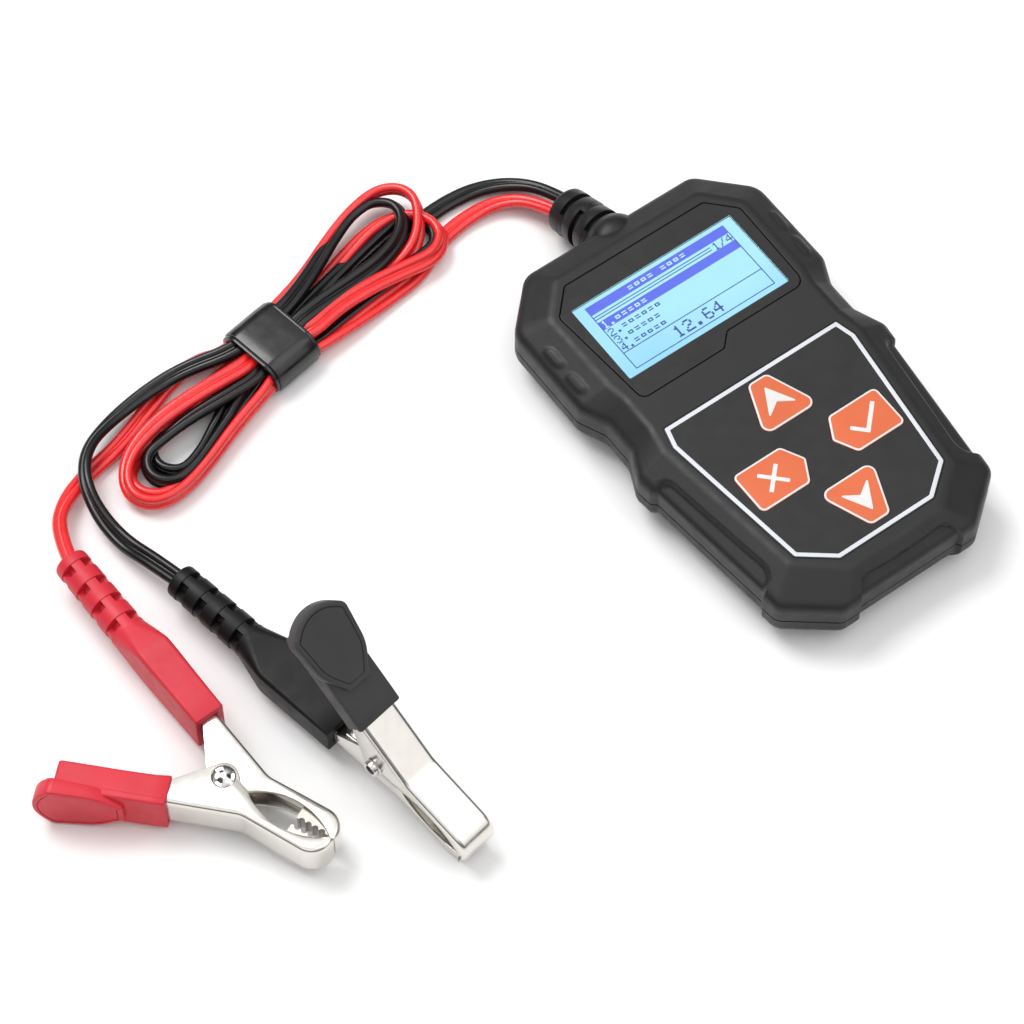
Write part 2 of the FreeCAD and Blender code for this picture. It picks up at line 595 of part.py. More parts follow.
def clamp_placement(pivot, heading, pitch=None):
    """Own frame to tester frame: lying flat, or standing on the fixed side with w level."""
    angle = math.radians(heading)
    if pitch is None:
        u = V(math.cos(angle), math.sin(angle), 0)
        w = V(0, 0, 1)
    else:
        tilt = math.radians(pitch)
        u = V(math.cos(angle) * math.cos(tilt), math.sin(angle) * math.cos(tilt), math.sin(tilt))
        w = V(-math.sin(angle), math.cos(angle), 0)
    v = w.cross(u)
    return FreeCAD.Placement(FreeCAD.Matrix(u.x, v.x, w.x, pivot.x, u.y, v.y, w.y, pivot.y,
                                            u.z, v.z, w.z, pivot.z, 0, 0, 0, 1))


# ---------------------------------------------------------------- build
def build():
    parts["front_housing"] = front_housing()
    parts["rear_housing"] = rear_housing()
    parts["housing_screws"] = housing_screws()
    lens_low = TOP_Z - LENS_THICK
    parts["display_lens"] = prism(LENS_OUTLINE, lens_low, TOP_Z)
    parts["lcd_glass"] = window_block(WINDOW[0] + 0.6, WINDOW[1] + 0.6, LCD_TOP_Z - LCD_THICK, LCD_TOP_Z)
    parts["lcd_backlight"] = window_block(51.0, 25.8, BOARD_TOP_Z + 1.0, LCD_TOP_Z - LCD_THICK)
    parts["lcd_frame"] = lcd_frame()
    parts["keypad_film"] = keypad_film()
    switches = []
    for name, (outline, centre) in keys().items():
        parts[name] = key_cap(outline, centre)
        stem_low = BOARD_TOP_Z + 0.8 + KEY_TRAVEL + 0.3
        stem = rod(STEM_R, centre + V(0, 0, stem_low), centre + V(0, 0, STEM_TOP_Z))
        parts[name.replace("key", "stem")] = stem
        switches.append(tactile_switch(centre))
    parts["tactile_switches"] = group(switches)
    parts["circuit_board"] = circuit_board()
    parts["load_resistors"] = load_resistors()
    parts.update(chips())
    parts["buzzer"] = buzzer()
    parts["solder_terminals"] = solder_terminals()
    parts["inner_wires"] = inner_wires()
    parts["cable_gland"] = cable_gland()
    routes = {"black_lead_inner": BLACK_INNER, "red_lead_inner": RED_INNER,
              "black_lead_outer": BLACK_OUTER, "red_lead_outer": RED_OUTER}
    for name, points in routes.items():
        parts[name] = lead_tube(name, points)
    parts["lead_hank"] = lead_hank()
    parts["cable_strap"] = cable_strap()
    clamp("red", clamp_placement(RED_PIVOT, RED_HEADING))
    clamp("black", clamp_placement(BLACK_PIVOT, BLACK_HEADING, BLACK_PITCH))


build()
os.makedirs("parts", exist_ok=True)
for node, solid in parts.items():
    solid.exportStep("parts/" + node + ".step")
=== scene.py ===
"""Looks for the battery tester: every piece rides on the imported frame.

Lengths are in millimetres in the code and turn into metres as each mesh is made.
"""
import bpy
import bmesh
from math import atan2, cos, degrees, hypot, pi, radians, sin, tan, tau
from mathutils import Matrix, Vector
from mathutils.geometry import tessellate_polygon


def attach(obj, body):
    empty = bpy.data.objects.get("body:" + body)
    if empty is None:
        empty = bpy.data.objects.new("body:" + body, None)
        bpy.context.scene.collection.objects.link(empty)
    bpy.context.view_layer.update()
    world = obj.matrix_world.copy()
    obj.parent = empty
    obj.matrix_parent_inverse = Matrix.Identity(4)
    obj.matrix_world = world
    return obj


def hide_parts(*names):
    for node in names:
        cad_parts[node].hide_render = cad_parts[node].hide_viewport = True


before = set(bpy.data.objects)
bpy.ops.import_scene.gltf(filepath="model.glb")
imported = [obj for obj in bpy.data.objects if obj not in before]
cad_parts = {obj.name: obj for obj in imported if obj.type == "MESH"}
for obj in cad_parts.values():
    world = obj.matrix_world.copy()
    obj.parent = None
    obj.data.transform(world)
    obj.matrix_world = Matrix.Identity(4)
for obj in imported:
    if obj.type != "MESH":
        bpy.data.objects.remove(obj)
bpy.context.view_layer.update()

MM = 0.001


def add(name, data):
    """New object in the scene."""
    obj = bpy.data.objects.new(name, data)
    bpy.context.scene.collection.objects.link(obj)
    return obj


# ---------------- camera
CAMERA_AT = Vector((-352.5, -383.1, 840.6))
CAMERA_TILT = 30.345            # degrees from straight down
CAMERA_HEADING = -35.862        # degrees about the vertical
CAMERA_LENS, CAMERA_SENSOR = 136.06, 36.0


def camera():
    data = bpy.data.cameras.new("camera")
    data.lens = CAMERA_LENS
    data.sensor_width = CAMERA_SENSOR
    data.clip_start = 0.05
    data.clip_end = 20.0
    obj = add("camera", data)
    obj.location = CAMERA_AT * MM
    obj.rotation_euler = (radians(CAMERA_TILT), 0, radians(CAMERA_HEADING))
    bpy.context.scene.camera = obj


camera()


# ---------------- materials
def material(name, color, rough, metal=0, specular=0.5, **extra):
    """Plain shader; extra names any other socket, such as Coat_Weight=0.2."""
    mat = bpy.data.materials.new(name)
    mat.use_nodes = True
    tree = mat.node_tree
    shader = tree.nodes["Principled BSDF"]
    shader.inputs["Base Color"].default_value = (*color, 1)
    shader.inputs["Roughness"].default_value = rough
    shader.inputs["Metallic"].default_value = metal
    shader.inputs["Specular IOR Level"].default_value = specular
    for key, value in extra.items():
        shader.inputs[key.replace("_", " ")].default_value = value
    return mat


TONE_SCALE, GLOSS_SCALE = 60, 260.0          # plastics, in features per metre
CLOUD_SCALE, POLISH_SCALE = 140, 420.0       # metals
GRAIN_STRENGTH = 0.35


def noise(mat, scale, detail=2):
    """Noise texture in object space; scale is in features per metre."""
    nodes = mat.node_tree.nodes
    links = mat.node_tree.links
    coord = nodes.new("ShaderNodeTexCoord")
    tex = nodes.new("ShaderNodeTexNoise")
    tex.inputs["Scale"].default_value = scale
    tex.inputs["Detail"].default_value = detail
    links.new(coord.outputs["Object"], tex.inputs["Vector"])
    return tex


def add_bump(mat, height, strength, distance):
    """Bump from a height socket; distance is in metres."""
    nodes = mat.node_tree.nodes
    bump = nodes.new("ShaderNodeBump")
    bump.inputs["Strength"].default_value = strength
    bump.inputs["Distance"].default_value = distance
    mat.node_tree.links.new(height, bump.inputs["Height"])
    mat.node_tree.links.new(bump.outputs["Normal"], nodes["Principled BSDF"].inputs["Normal"])


def ramp(mat, value, low, high, socket, at=(0.35, 0.65)):
    """Drive a shader socket from a 0..1 value through two colours or greys."""
    nodes = mat.node_tree.nodes
    node = nodes.new("ShaderNodeValToRGB")
    for stop, place, tone in zip(node.color_ramp.elements, at, (low, high)):
        stop.position = place
        stop.color = (*tone, 1) if hasattr(tone, "__len__") else (tone, tone, tone, 1)
    mat.node_tree.links.new(value, node.inputs["Fac"])
    mat.node_tree.links.new(node.outputs["Color"], nodes["Principled BSDF"].inputs[socket])


def moulded(name, color, rough, grain, depth, spread=0.06, **extra):
    """Plastic or rubber with uneven tone and gloss: grain in features and depth in metres."""
    mat = material(name, color, rough, **extra)
    broad = noise(mat, TONE_SCALE, 3)
    low = tuple(c * (1 - spread) for c in color)
    high = tuple(min(1, c * (1 + spread)) for c in color)
    ramp(mat, broad.outputs["Fac"], low, high, "Base Color")
    patch = noise(mat, GLOSS_SCALE)
    ramp(mat, patch.outputs["Fac"], rough - 0.04, rough + 0.05, "Roughness")
    add_bump(mat, noise(mat, grain, 4).outputs["Fac"], GRAIN_STRENGTH, depth)
    return mat


def metal(name, color, rough, grain):
    """Plated or plain sheet metal with faint clouding and a fine drawn grain."""
    mat = material(name, color, rough, 1)
    cloud = noise(mat, CLOUD_SCALE, 3)
    ramp(mat, cloud.outputs["Fac"], tuple(c * 0.96 for c in color), color, "Base Color")
    patch = noise(mat, POLISH_SCALE, 3)
    ramp(mat, patch.outputs["Fac"], rough - 0.02, rough + 0.03, "Roughness")
    add_bump(mat, noise(mat, grain, 3).outputs["Fac"], 0.12, 0.00001)
    return mat


def glowing(name, low, high, strength):
    """Backlit surface between two tones."""
    mat = material(name, (0.01, 0.02, 0.03), 0.35, specular=0.2, Emission_Strength=strength)
    ramp(mat, noise(mat, 22, 1).outputs["Fac"], low, high, "Emission Color")
    return mat


def repaint(mat, *nodes):
    """Give CAD nodes that stay visible their finish."""
    for node in nodes:
        for slot in bpy.data.objects[node].material_slots:
            slot.material = mat


CORD_PVC = {
    "red": moulded("red_pvc", (0.76, 0.018, 0.020), 0.28, 500, 0.000006,
                   Coat_Weight=0.25, Coat_Roughness=0.12),
    "black": moulded("black_pvc", (0.005, 0.005, 0.006), 0.24, 500, 0.000005, specular=0.4)}


# ---------------- mesh helper
def recalculated(mesh, weld=0):
    """Turn all faces outwards, after welding points closer than weld metres."""
    work = bmesh.new()
    work.from_mesh(mesh)
    if weld:
        bmesh.ops.remove_doubles(work, verts=work.verts, dist=weld)
    bmesh.ops.recalc_face_normals(work, faces=work.faces)
    work.to_mesh(mesh)
    work.free()


def piece(name, shape, mats, body="tester", tones=(), angle=35, swap=()):
    """Mesh piece from millimetre points and faces, smooth up to the given angle."""
    verts, faces = shape
    mesh = bpy.data.meshes.new(name)
    mesh.from_pydata([(v[0] * MM, v[1] * MM, v[2] * MM) for v in verts], [], faces)
    for mat in mats:
        mesh.materials.append(mat)
    for polygon, tone in zip(mesh.polygons, tones):
        polygon.material_index = tone
    recalculated(mesh)
    mesh.shade_smooth()
    mesh.set_sharp_from_angle(angle=radians(angle))
    obj = add(name, mesh)
    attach(obj, body)
    if swap:
        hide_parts(*swap)
    return obj


def skin(rings, closed=True):
    """Quads between rings of equal length; closed joins each ring's ends."""
    count = len(rings[0])
    verts = [v for ring in rings for v in ring]
    faces = []
    for r in range(len(rings) - 1):
        for i in range(count if closed else count - 1):
            j = (i + 1) % count
            faces.append((r * count + i, r * count + j, (r + 1) * count + j, (r + 1) * count + i))
    return verts, faces


def capped(rings):
    verts, faces = skin(rings)
    count = len(rings[0])
    faces.append(tuple(range(count)))
    last = (len(rings) - 1) * count
    faces.append(tuple(last + i for i in range(count)))
    return verts, faces


# ---------------- leads
LEAD_LOBE = 1.2             # radius of one core's jacket; two side by side make the flat cord
LOBE_SPAN, LOBE_STEP = 152, 19      # degrees each way round a lobe, and between its points
LINE_STEPS = 9                      # centreline points to each control point
HANK_CENTRE = Vector((-87, 89.4))
HANK_ANGLE = radians(10)


def in_hank(a, b, z):
    """Point from the hank's own frame: a along it towards the tester, b across."""
    c, s = cos(HANK_ANGLE), sin(HANK_ANGLE)
    return (HANK_CENTRE.x + c * a - s * b, HANK_CENTRE.y + s * a + c * b, z)


# Routes as (x, y, z, twist): the twist stands the flat cord up on its edge, in degrees.
RED_INNER = [(-3.4, 78.2, 7, 30), (-5.7, 87.2, 4.6, 25), (-12.2, 93.3, 2.7, 15), (-21.8, 94.6, 1.8, 5),
             (-33, 92.6, 1.5, 5)]
BLACK_INNER = [(0.8, 78.2, 7.6, 35), (-0.9, 87.4, 5.2, 30), (-5.8, 95.4, 3, 20), (-13.8, 100.2, 1.9, 5),
               (-23, 101.6, 1.5, 0), (-33, 100.8, 1.5, 0)]
RED_OUTER = [(-103.5, 98.4, 2.8, 50), (-113.5, 97.4, 2.1, 15), (-124, 93.2, 1.8, 0),
             (-134, 89, 1.8, 0), (-145, 86.6, 2, 5), (-154.5, 82.6, 3.4, 20),
             (-161.4, 75, 6, 45), (-164.05, 63.2, 8.6, 60)]
BLACK_OUTER = [(-109, 96.8, 4.9, 0), (-121, 97, 4.3, 10), (-133, 95, 4.4, 30),
               (-142.6, 90.6, 6.4, 50), (-148.2, 83, 7, 60), (-150.2, 73.2, 5.4, 60),
               (-149.4, 63, 4.4, 40), (-147, 53.6, 6.8, 15), (-144.75, 43.2, 8.7, 0)]
# Turns in the hank's frame, as (a, b, z, twist).
RED_TURNS = [
    (44, -10, 1.5, 5), (33, -9.4, 1.6, 10), (21, -8.9, 2.4, 45), (9, -8.3, 3.2, 70),
    (0, -6.5, 2.6, 30), (-9, -5.4, 2.3, 10), (-20, -8.2, 2.5, 50), (-31, -10.8, 2.7, 80),
    (-41, -12, 2.7, 85), (-49.5, -11.8, 2.7, 85), (-53.2, -5.4, 2.7, 85), (-49.5, 0.8, 2.7, 75),
    (-41.5, 1.6, 2.5, 55), (-33, 2.2, 2.4, 30), (-24, 2.8, 2.3, 10), (-9, 4.4, 2.3, 0), (0, 0.5, 4.8, 0),
    (9, -4.8, 6.6, 5), (20, -4, 6.4, 5), (31, -5.6, 6, 10), (41, -8.2, 5.4, 25),
    (48.8, -10.4, 5, 45), (54.4, -8.2, 4.9, 60), (56.6, -3.2, 4.9, 70), (55.2, 2.2, 4.8, 65),
    (51.5, 6.4, 4.4, 50), (44, 8.4, 3.8, 40), (34, 7.6, 3, 25), (22, 5.6, 2.5, 10),
    (9, 4.4, 2.3, 0), (0, 1.5, 5, 0), (-9, -0.7, 7.3, 0), (-19, 1.4, 7.2, 5),
    (-30, 3.4, 6.8, 10), (-40, 3.8, 6.2, 20), (-48.5, 2, 5.6, 40), (-54, -2.4, 5, 60),
    (-55.6, -8, 4.5, 75), (-52, -13.2, 4.1, 85), (-44, -14.6, 3.8, 85), (-34, -13, 3.8, 85),
    (-22, -10.2, 4.2, 85), (-9, -8.4, 4.6, 85), (0, -6, 5, 40), (9, -3.2, 4.6, 5),
    (20, -2.6, 3.4, 5), (31, -3.8, 2.9, 15), (41, -5.4, 3.1, 35), (48.5, -4.2, 4.6, 55),
    (53.8, -0.2, 6.6, 70), (57.4, 5.2, 7.6, 75), (56.6, 11, 7, 75), (51.4, 15, 6.2, 75),
    (42.5, 15.2, 5.6, 75), (32, 13.2, 4.8, 80), (20, 9.9, 4.4, 80), (9, 8.4, 4.2, 80),
    (0, 8.2, 4, 80), (-9, 8.4, 3.8, 80)]
BLACK_TURNS = [
    (45, 1.6, 1.5, 0), (34, 1.2, 1.5, 0), (22, 0.6, 1.7, 0), (9, -0.4, 2.2, 0),
    (0, -0.4, 2.3, 0), (-9, -0.5, 2.3, 0), (-19, -0.2, 2.2, 10), (-27, 0.7, 2.4, 40),
    (-34.4, 1.3, 2.6, 70), (-41.3, 1.4, 2.6, 85), (-44.8, -4.4, 2.6, 85), (-41.3, -10.1, 2.6, 85),
    (-34.2, -9.2, 2.6, 85), (-26.5, -6.2, 2.6, 80),
    (-18, -3, 3.4, 45), (-9, 2, 4.6, 0), (0, -1.5, 3.4, 0), (9, -5.2, 2.3, 5),
    (20, -5.2, 2.3, 10), (31, -5.6, 2.4, 25), (39.5, -6.6, 2.5, 50), (47, -7.2, 2.6, 70),
    (53, -6.9, 2.7, 85), (56.2, -1.2, 2.9, 85), (53, 4.5, 3.2, 75), (45.5, 5.4, 3.4, 60),
    (32, 4.9, 3.8, 30), (21, 3.6, 4.4, 10), (9, 2, 4.8, 0), (0, -1.5, 5.6, 10),
    (-9, -4.9, 6.6, 30), (-20, -3, 6.4, 30), (-30, -0.9, 5.8, 35), (-38, -0.4, 5.2, 50),
    (-45.3, -0.5, 4.8, 65), (-48.8, -6.3, 4.5, 85), (-45.3, -12.1, 4.3, 85), (-37.5, -12, 4.2, 85),
    (-29.5, -9.8, 4.2, 85),
    (-21, -7.6, 4.3, 80), (-9, -3.8, 4.5, 30), (0, -2, 6, 0), (9, -0.4, 7.3, 0),
    (18, -0.8, 7.2, 10), (28, -1.8, 6.9, 30), (37, -2.4, 6.8, 45), (45.5, -1, 6.8, 55),
    (51.2, 3, 6.8, 60), (52.6, 8.4, 6.6, 60), (48.9, 13, 6.2, 60), (41.7, 14, 6, 50),
    (33, 11.8, 6.2, 35), (24, 8.6, 6.8, 20), (16, 6.2, 7.2, 10), (9, 4.8, 7.4, 0),
    (0, 4.8, 7.4, 0), (-9, 5, 7.2, 0)]


def centreline(name, route, steps):
    """The route's smooth line: its points as control points of one NURBS spline."""
    curve = bpy.data.curves.new(name, "CURVE")
    curve.dimensions = "3D"
    spline = curve.splines.new("NURBS")
    spline.points.add(len(route) - 1)
    for point, at in zip(spline.points, route):
        point.co = (at[0] * MM, at[1] * MM, at[2] * MM, 1)
    spline.order_u = 3
    spline.use_endpoint_u = True
    spline.resolution_u = steps
    holder = add(name, curve)
    bpy.context.view_layer.update()
    mesh = bpy.data.meshes.new_from_object(holder)
    line = [v.co / MM for v in mesh.vertices]
    bpy.data.objects.remove(holder)
    bpy.data.curves.remove(curve)
    bpy.data.meshes.remove(mesh)
    return line


def flat_section():
    """Figure-eight outline of the twin cord, as (across, up) pairs in millimetres."""
    lobe = LEAD_LOBE
    half = [(lobe + lobe * cos(radians(a)), lobe * sin(radians(a)))
            for a in range(-LOBE_SPAN, LOBE_SPAN + 1, LOBE_STEP)]
    return half + [(-x, -y) for x, y in half]


def flat_cord(colour, route):
    """Flat cord along a route, turned about its line by the route's twists.

    Gives the piece, its centreline in metres and its length in metres.
    """
    name = colour + "_lead"
    line = centreline(name + "_line", route, LINE_STEPS)
    section = flat_section()
    count = len(line)
    rings = []
    for i, at in enumerate(line):
        ahead = line[min(i + 1, count - 1)] - line[max(i - 1, 0)]
        ahead.normalize()
        side = Vector((-ahead.y, ahead.x, 0)).normalized()
        rise = ahead.cross(side)
        rise = rise if rise.z > 0 else -rise
        place = i / (count - 1) * (len(route) - 1)
        k = min(int(place), len(route) - 2)
        turn = radians(route[k][3] + (route[k + 1][3] - route[k][3]) * (place - k))
        across = side * cos(turn) + rise * sin(turn)
        level = rise * cos(turn) - side * sin(turn)
        rings.append([at + across * x + level * y for x, y in section])
    cord = piece(name, capped(rings), [CORD_PVC[colour]], angle=50,
                 swap=[name + "_inner", name + "_outer", "lead_hank"])
    length = sum((b - a).length for a, b in zip(line, line[1:])) * MM
    return cord, [p * MM for p in line], length


def in_world(turns):
    return [(*in_hank(a, b, z), twist) for a, b, z, twist in turns]


def leads():
    """Both cords, by colour."""
    routes = {"black": BLACK_INNER + in_world(BLACK_TURNS) + BLACK_OUTER,
              "red": RED_INNER + in_world(RED_TURNS) + RED_OUTER}
    return {colour: flat_cord(colour, route) for colour, route in routes.items()}


LEADS = leads()


# ---------------- housing
WALL_HALF = [(26.6, 62.5, 5), (39.3, 49.6, 7), (39.3, 22, 5), (35.8, 14.5, 5),
             (35.8, 5, 5), (39.4, -3, 4), (33.9, -52.3, 4), (20.8, -62.5, 4)]
FACE_HALF = [(22.8, 54.3, 3), (31, 45.3, 4), (30.6, 21, 4), (29.8, 15.5, 4),
             (29.8, 5, 4), (31, -2.5, 3), (25.4, -46.3, 2.5), (14.3, -55.4, 2.5)]
BASE_HALF = [(24, 56.8, 4), (33.2, 47.3, 5), (33.2, 20.5, 4), (30.6, 14.6, 4),
             (30.6, 5, 4), (33.4, -2.8, 3), (28.6, -49.3, 3), (18.2, -57, 3)]
LENS = [(22, 51.2, 1.5), (28.7, 44.2, 2), (28.1, 16.6, 3), (3.2, 16.6, 1.5),
        (-0.6, 12.8, 1.5), (-26, 12.8, 2), (-28.7, 44.2, 2), (-22, 51.2, 1.5)]
KEYPAD_HALF = [(27.4, 2.9, 0.8), (29, -3.2, 1.2), (23.7, -45.4, 1.2), (14.7, -52.4, 1.2)]
SCREWS = [(26, 49.5), (-26, 49.5), (22, -46.5), (-22, -46.5)]
TOP = 22.0
SLOPE_FOOT = 17.4           # where the top slopes meet the wall
PARTING = 11.0              # the joint between the two halves
WALL_FOOT = 6.8             # where the wall turns in towards the back
SLOPE_ROUND, FOOT_ROUND, BASE_ROUND = 2.2, 1.6, 1.0
WELL = ((2.9, 0), (2.7, 0.2), (2.7, 2.6), (0.4, 2.6))      # screw recess: radius, height


def mirrored(half):
    """Whole outline from its right half."""
    return half + [(-x, y, r) for x, y, r in reversed(half)]


def doubled(half):
    """Whole outline from its lower half."""
    return half + [(x, -y, r) for x, y, r in reversed(half)]


def rectangle(left, low, right, high, radius):
    return [(left, low, radius), (right, low, radius), (right, high, radius), (left, high, radius)]


def inset(points, distance):
    """Move every side of a closed outline inwards."""
    count = len(points)
    area = sum(points[i][0] * points[(i + 1) % count][1] - points[(i + 1) % count][0] * points[i][1]
               for i in range(count))
    sign = 1.0 if area > 0 else -1.0
    result = []
    for i in range(count):
        here = Vector(points[i][:2])
        before = (here - Vector(points[i - 1][:2])).normalized()
        after = (Vector(points[(i + 1) % count][:2]) - here).normalized()
        normal_a = Vector((-before.y, before.x)) * sign
        normal_b = Vector((-after.y, after.x)) * sign
        at = here + (normal_a + normal_b) * (distance / (1 + normal_a.dot(normal_b)))
        result.append((at.x, at.y, max(points[i][2] - distance, 0.25)))
    return result


def trace(points, fills, steps=6):
    """Points along a closed outline with rounded corners and a set number on each side."""
    count = len(points)
    corners = []
    for i in range(count):
        here = Vector(points[i][:2])
        last = (Vector(points[i - 1][:2]) - here).normalized()
        ahead = (Vector(points[(i + 1) % count][:2]) - here).normalized()
        half = (pi - last.angle(ahead)) / 2
        radius = points[i][2]
        cut = radius * tan(half)
        centre = here + (last + ahead).normalized() * (radius / cos(half))
        start, end = here + last * cut, here + ahead * cut
        arc = []
        for k in range(steps + 1):
            t = k / steps
            from_start, from_end = sin((1 - t) * 2 * half), sin(t * 2 * half)
            spoke = (start - centre) * from_start + (end - centre) * from_end
            arc.append(centre + spoke / sin(2 * half))
        corners.append(arc)
    path = []
    for i in range(count):
        path += corners[i]
        start, end = corners[i][-1], corners[(i + 1) % count][0]
        path += [start.lerp(end, k / (fills[i] + 1)) for k in range(1, fills[i] + 1)]
    return path


def side_fills(points, spacing):
    count = len(points)
    return [max(1, int((Vector(points[i][:2]) - Vector(points[(i + 1) % count][:2])).length / spacing))
            for i in range(count)]


def simple(points, steps=6):
    return trace(points, [0] * len(points), steps)


def sheet_faces(loops, z):
    """Flat faces inside the first loop and outside the others, at height z."""
    verts = [(p[0], p[1], z) for loop in loops for p in loop]
    triangles = tessellate_polygon([[Vector((p[0], p[1], 0)) for p in loop] for loop in loops])
    return verts, [tuple(t) for t in triangles]


def merged(*parts):
    verts, faces = [], []
    for part_verts, part_faces in parts:
        start = len(verts)
        verts += [tuple(v) for v in part_verts]
        faces += [tuple(i + start for i in face) for face in part_faces]
    return verts, faces


def lifted(loop, z):
    return [(p[0], p[1], z) for p in loop]


def stepped(outline, profile):
    """Rings of an outline, inset and lifted through (inset, z) steps."""
    return [lifted(simple(inset(outline, d)), z) for d, z in profile]


WALL, FACE, BASE = mirrored(WALL_HALF), mirrored(FACE_HALF), mirrored(BASE_HALF)
KEYPAD = mirrored(KEYPAD_HALF)
FILLS = side_fills(WALL, 0.8)
WALL_LINE, FACE_LINE, BASE_LINE = (trace(outline, FILLS) for outline in (WALL, FACE, BASE))


def smooth_step(low, high, value):
    t = min(1, max(0, (value - low) / (high - low)))
    return t * t * (3 - 2 * t)


def panel(u, h, centre, half, radius):
    """Signed distance to a rounded rectangle, negative inside."""
    du, dh = abs(u - centre[0]) - half[0] + radius, abs(h - centre[1]) - half[1] + radius
    outside = hypot(max(du, 0), max(dh, 0))
    return outside + min(max(du, dh), 0) - radius


def relief(x, y, h):
    """How far the moulding stands in (+) or out (-) at a wall point, h down from the face."""
    if y < -56 or (y < -50 and abs(x) < 17):
        return 1.15 * smooth_step(0.35, -0.35, panel(x - 0.4, h, (0, 5.2 + 13), (15.6, 13), 2))
    if y < 5 and abs(x) > 30:
        along = panel(y, h, (-27.8, 6.0 + 13), (19.2, 13), 3)
        return 1.25 * smooth_step(0.75, -0.75, along)
    if abs(x) > 38:
        rise = 0.0
        for middle in (37.8, 28.2):
            rise = max(rise, smooth_step(0.7, -0.7, panel(y, h, (middle, 7), (3.1, 1.25), 1.2)))
        return -0.42 * rise
    return 0.0


def section(i, top_round=1.1):
    """Rounded section of the front shell at outline point i, from the face down to the joint."""
    face, wall = FACE_LINE[i], WALL_LINE[i]
    slope = Vector((wall.x - face.x, wall.y - face.y, SLOPE_FOOT - TOP))
    length = slope.length
    run = slope / length
    level = Vector((run.x, run.y, 0)).normalized()
    corner_a = Vector((face.x, face.y, TOP))
    corner_b = Vector((wall.x, wall.y, SLOPE_FOOT))
    points = []
    for k in range(5):
        points.append(bent(corner_a, -level, run, top_round, k / 4))
    inner = length - top_round - SLOPE_ROUND
    for k in range(1, 20):
        points.append(corner_a + run * (top_round + inner * k / 20))
    for k in range(9):
        points.append(bent(corner_b, -run, Vector((0, 0, -1)), SLOPE_ROUND, k / 8))
    for z in (14.7, 14.2, 13.7, 13.2, 12.7, 12.2, 11.7, 11.3):
        points.append(Vector((wall.x, wall.y, z)))
    return points


def bent(corner, back, ahead, reach, t):
    """Point on the rounding of a corner between two directions."""
    start, end = corner + back * reach, corner + ahead * reach
    return start * (1 - t) ** 2 + corner * (2 * t * (1 - t)) + end * t ** 2


def rear_section(i):
    """Section of the rear shell at outline point i, from the joint down to the back."""
    wall, base = WALL_LINE[i], BASE_LINE[i]
    corner_a = Vector((wall.x, wall.y, WALL_FOOT))
    corner_b = Vector((base.x, base.y, 0))
    run = (corner_b - corner_a).normalized()
    length = (corner_b - corner_a).length
    level = Vector((run.x, run.y, 0)).normalized()
    points = [Vector((wall.x, wall.y, z)) for z in (10.75, 10.3, 9.8, 9.3, 8.8)]
    points += [bent(corner_a, Vector((0, 0, 1)), run, FOOT_ROUND, k / 6) for k in range(7)]
    inner = length - FOOT_ROUND - BASE_ROUND
    points += [corner_a + run * (FOOT_ROUND + inner * k / 10) for k in range(1, 10)]
    points += [bent(corner_b, -run, level, BASE_ROUND, k / 4) for k in range(5)]
    return points


def moulded_rings(columns, start_h):
    """Rings from the sections, pushed in and out along the surface normal by the relief."""
    count, depth = len(columns), len(columns[0])
    reach = []
    for column in columns:
        h, along = start_h, [start_h]
        for a, b in zip(column, column[1:]):
            h += (b - a).length
            along.append(h)
        reach.append(along)
    rings = []
    for r in range(depth):
        ring = []
        for i in range(count):
            at = columns[i][r]
            near, far = columns[i - 1][r], columns[(i + 1) % count][r]
            above, below = columns[i][max(r - 1, 0)], columns[i][min(r + 1, depth - 1)]
            normal = (far - near).cross(below - above).normalized()
            outward = Vector((at.x, at.y, 0))
            normal = normal if normal.dot(outward) > 0 else -normal
            wall = WALL_LINE[i]
            ring.append(at - normal * relief(wall.x, wall.y, reach[i][r]))
        rings.append(ring)
    return rings


def pulled_in(ring, distance, z):
    """A ring moved inwards in the plane and put at height z."""
    count = len(ring)
    result = []
    for i in range(count):
        run = Vector(ring[(i + 1) % count][:2]) - Vector(ring[i - 1][:2])
        side = Vector((run.y, -run.x)).normalized()
        centre = Vector(ring[i][:2])
        side = side if side.dot(centre) < 0 else -side
        result.append((centre.x + side.x * distance, centre.y + side.y * distance, z))
    return result


def circle(x, y, radius, count=40):
    return [(x + radius * cos(tau * k / count), y + radius * sin(tau * k / count))
            for k in range(count)]


def front_shell():
    rings = moulded_rings([section(i) for i in range(len(WALL_LINE))], 0)
    lip = rings[-1]
    rings += [pulled_in(lip, 0.12, PARTING + 0.12), pulled_in(lip, 0.7, PARTING + 0.05)]
    lens_wall = stepped(LENS, ((-0.42, TOP), (-0.31, TOP - 0.05), (-0.25, TOP - 0.18), (-0.25, TOP - 0.8)))
    pad_wall = stepped(KEYPAD, ((-0.12, TOP), (0, TOP - 0.08), (0, TOP - 0.4)))
    top = sheet_faces([rings[0], lens_wall[0], pad_wall[0]], TOP)
    piece("front_shell", merged(skin(rings), top, skin(lens_wall), skin(pad_wall)), [HOUSING],
          swap=["front_housing"], angle=40)


def rear_shell():
    rings = moulded_rings([rear_section(i) for i in range(len(WALL_LINE))], 15.9)
    lip = rings[0]
    rings = [pulled_in(lip, 0.7, PARTING - 0.05), pulled_in(lip, 0.12, PARTING - 0.12)] + rings
    wells = [[lifted(circle(x, y, r), z) for r, z in WELL] for x, y in SCREWS]
    under = sheet_faces([rings[-1]] + [well[0] for well in wells], 0)
    piece("rear_shell", merged(skin(rings), under, *map(skin, wells)), [HOUSING],
          swap=["rear_housing"], angle=40)


HOUSING = moulded("housing", (0.014, 0.014, 0.0145), 0.44, 2600, 0.0001, specular=0.35)
front_shell()
rear_shell()


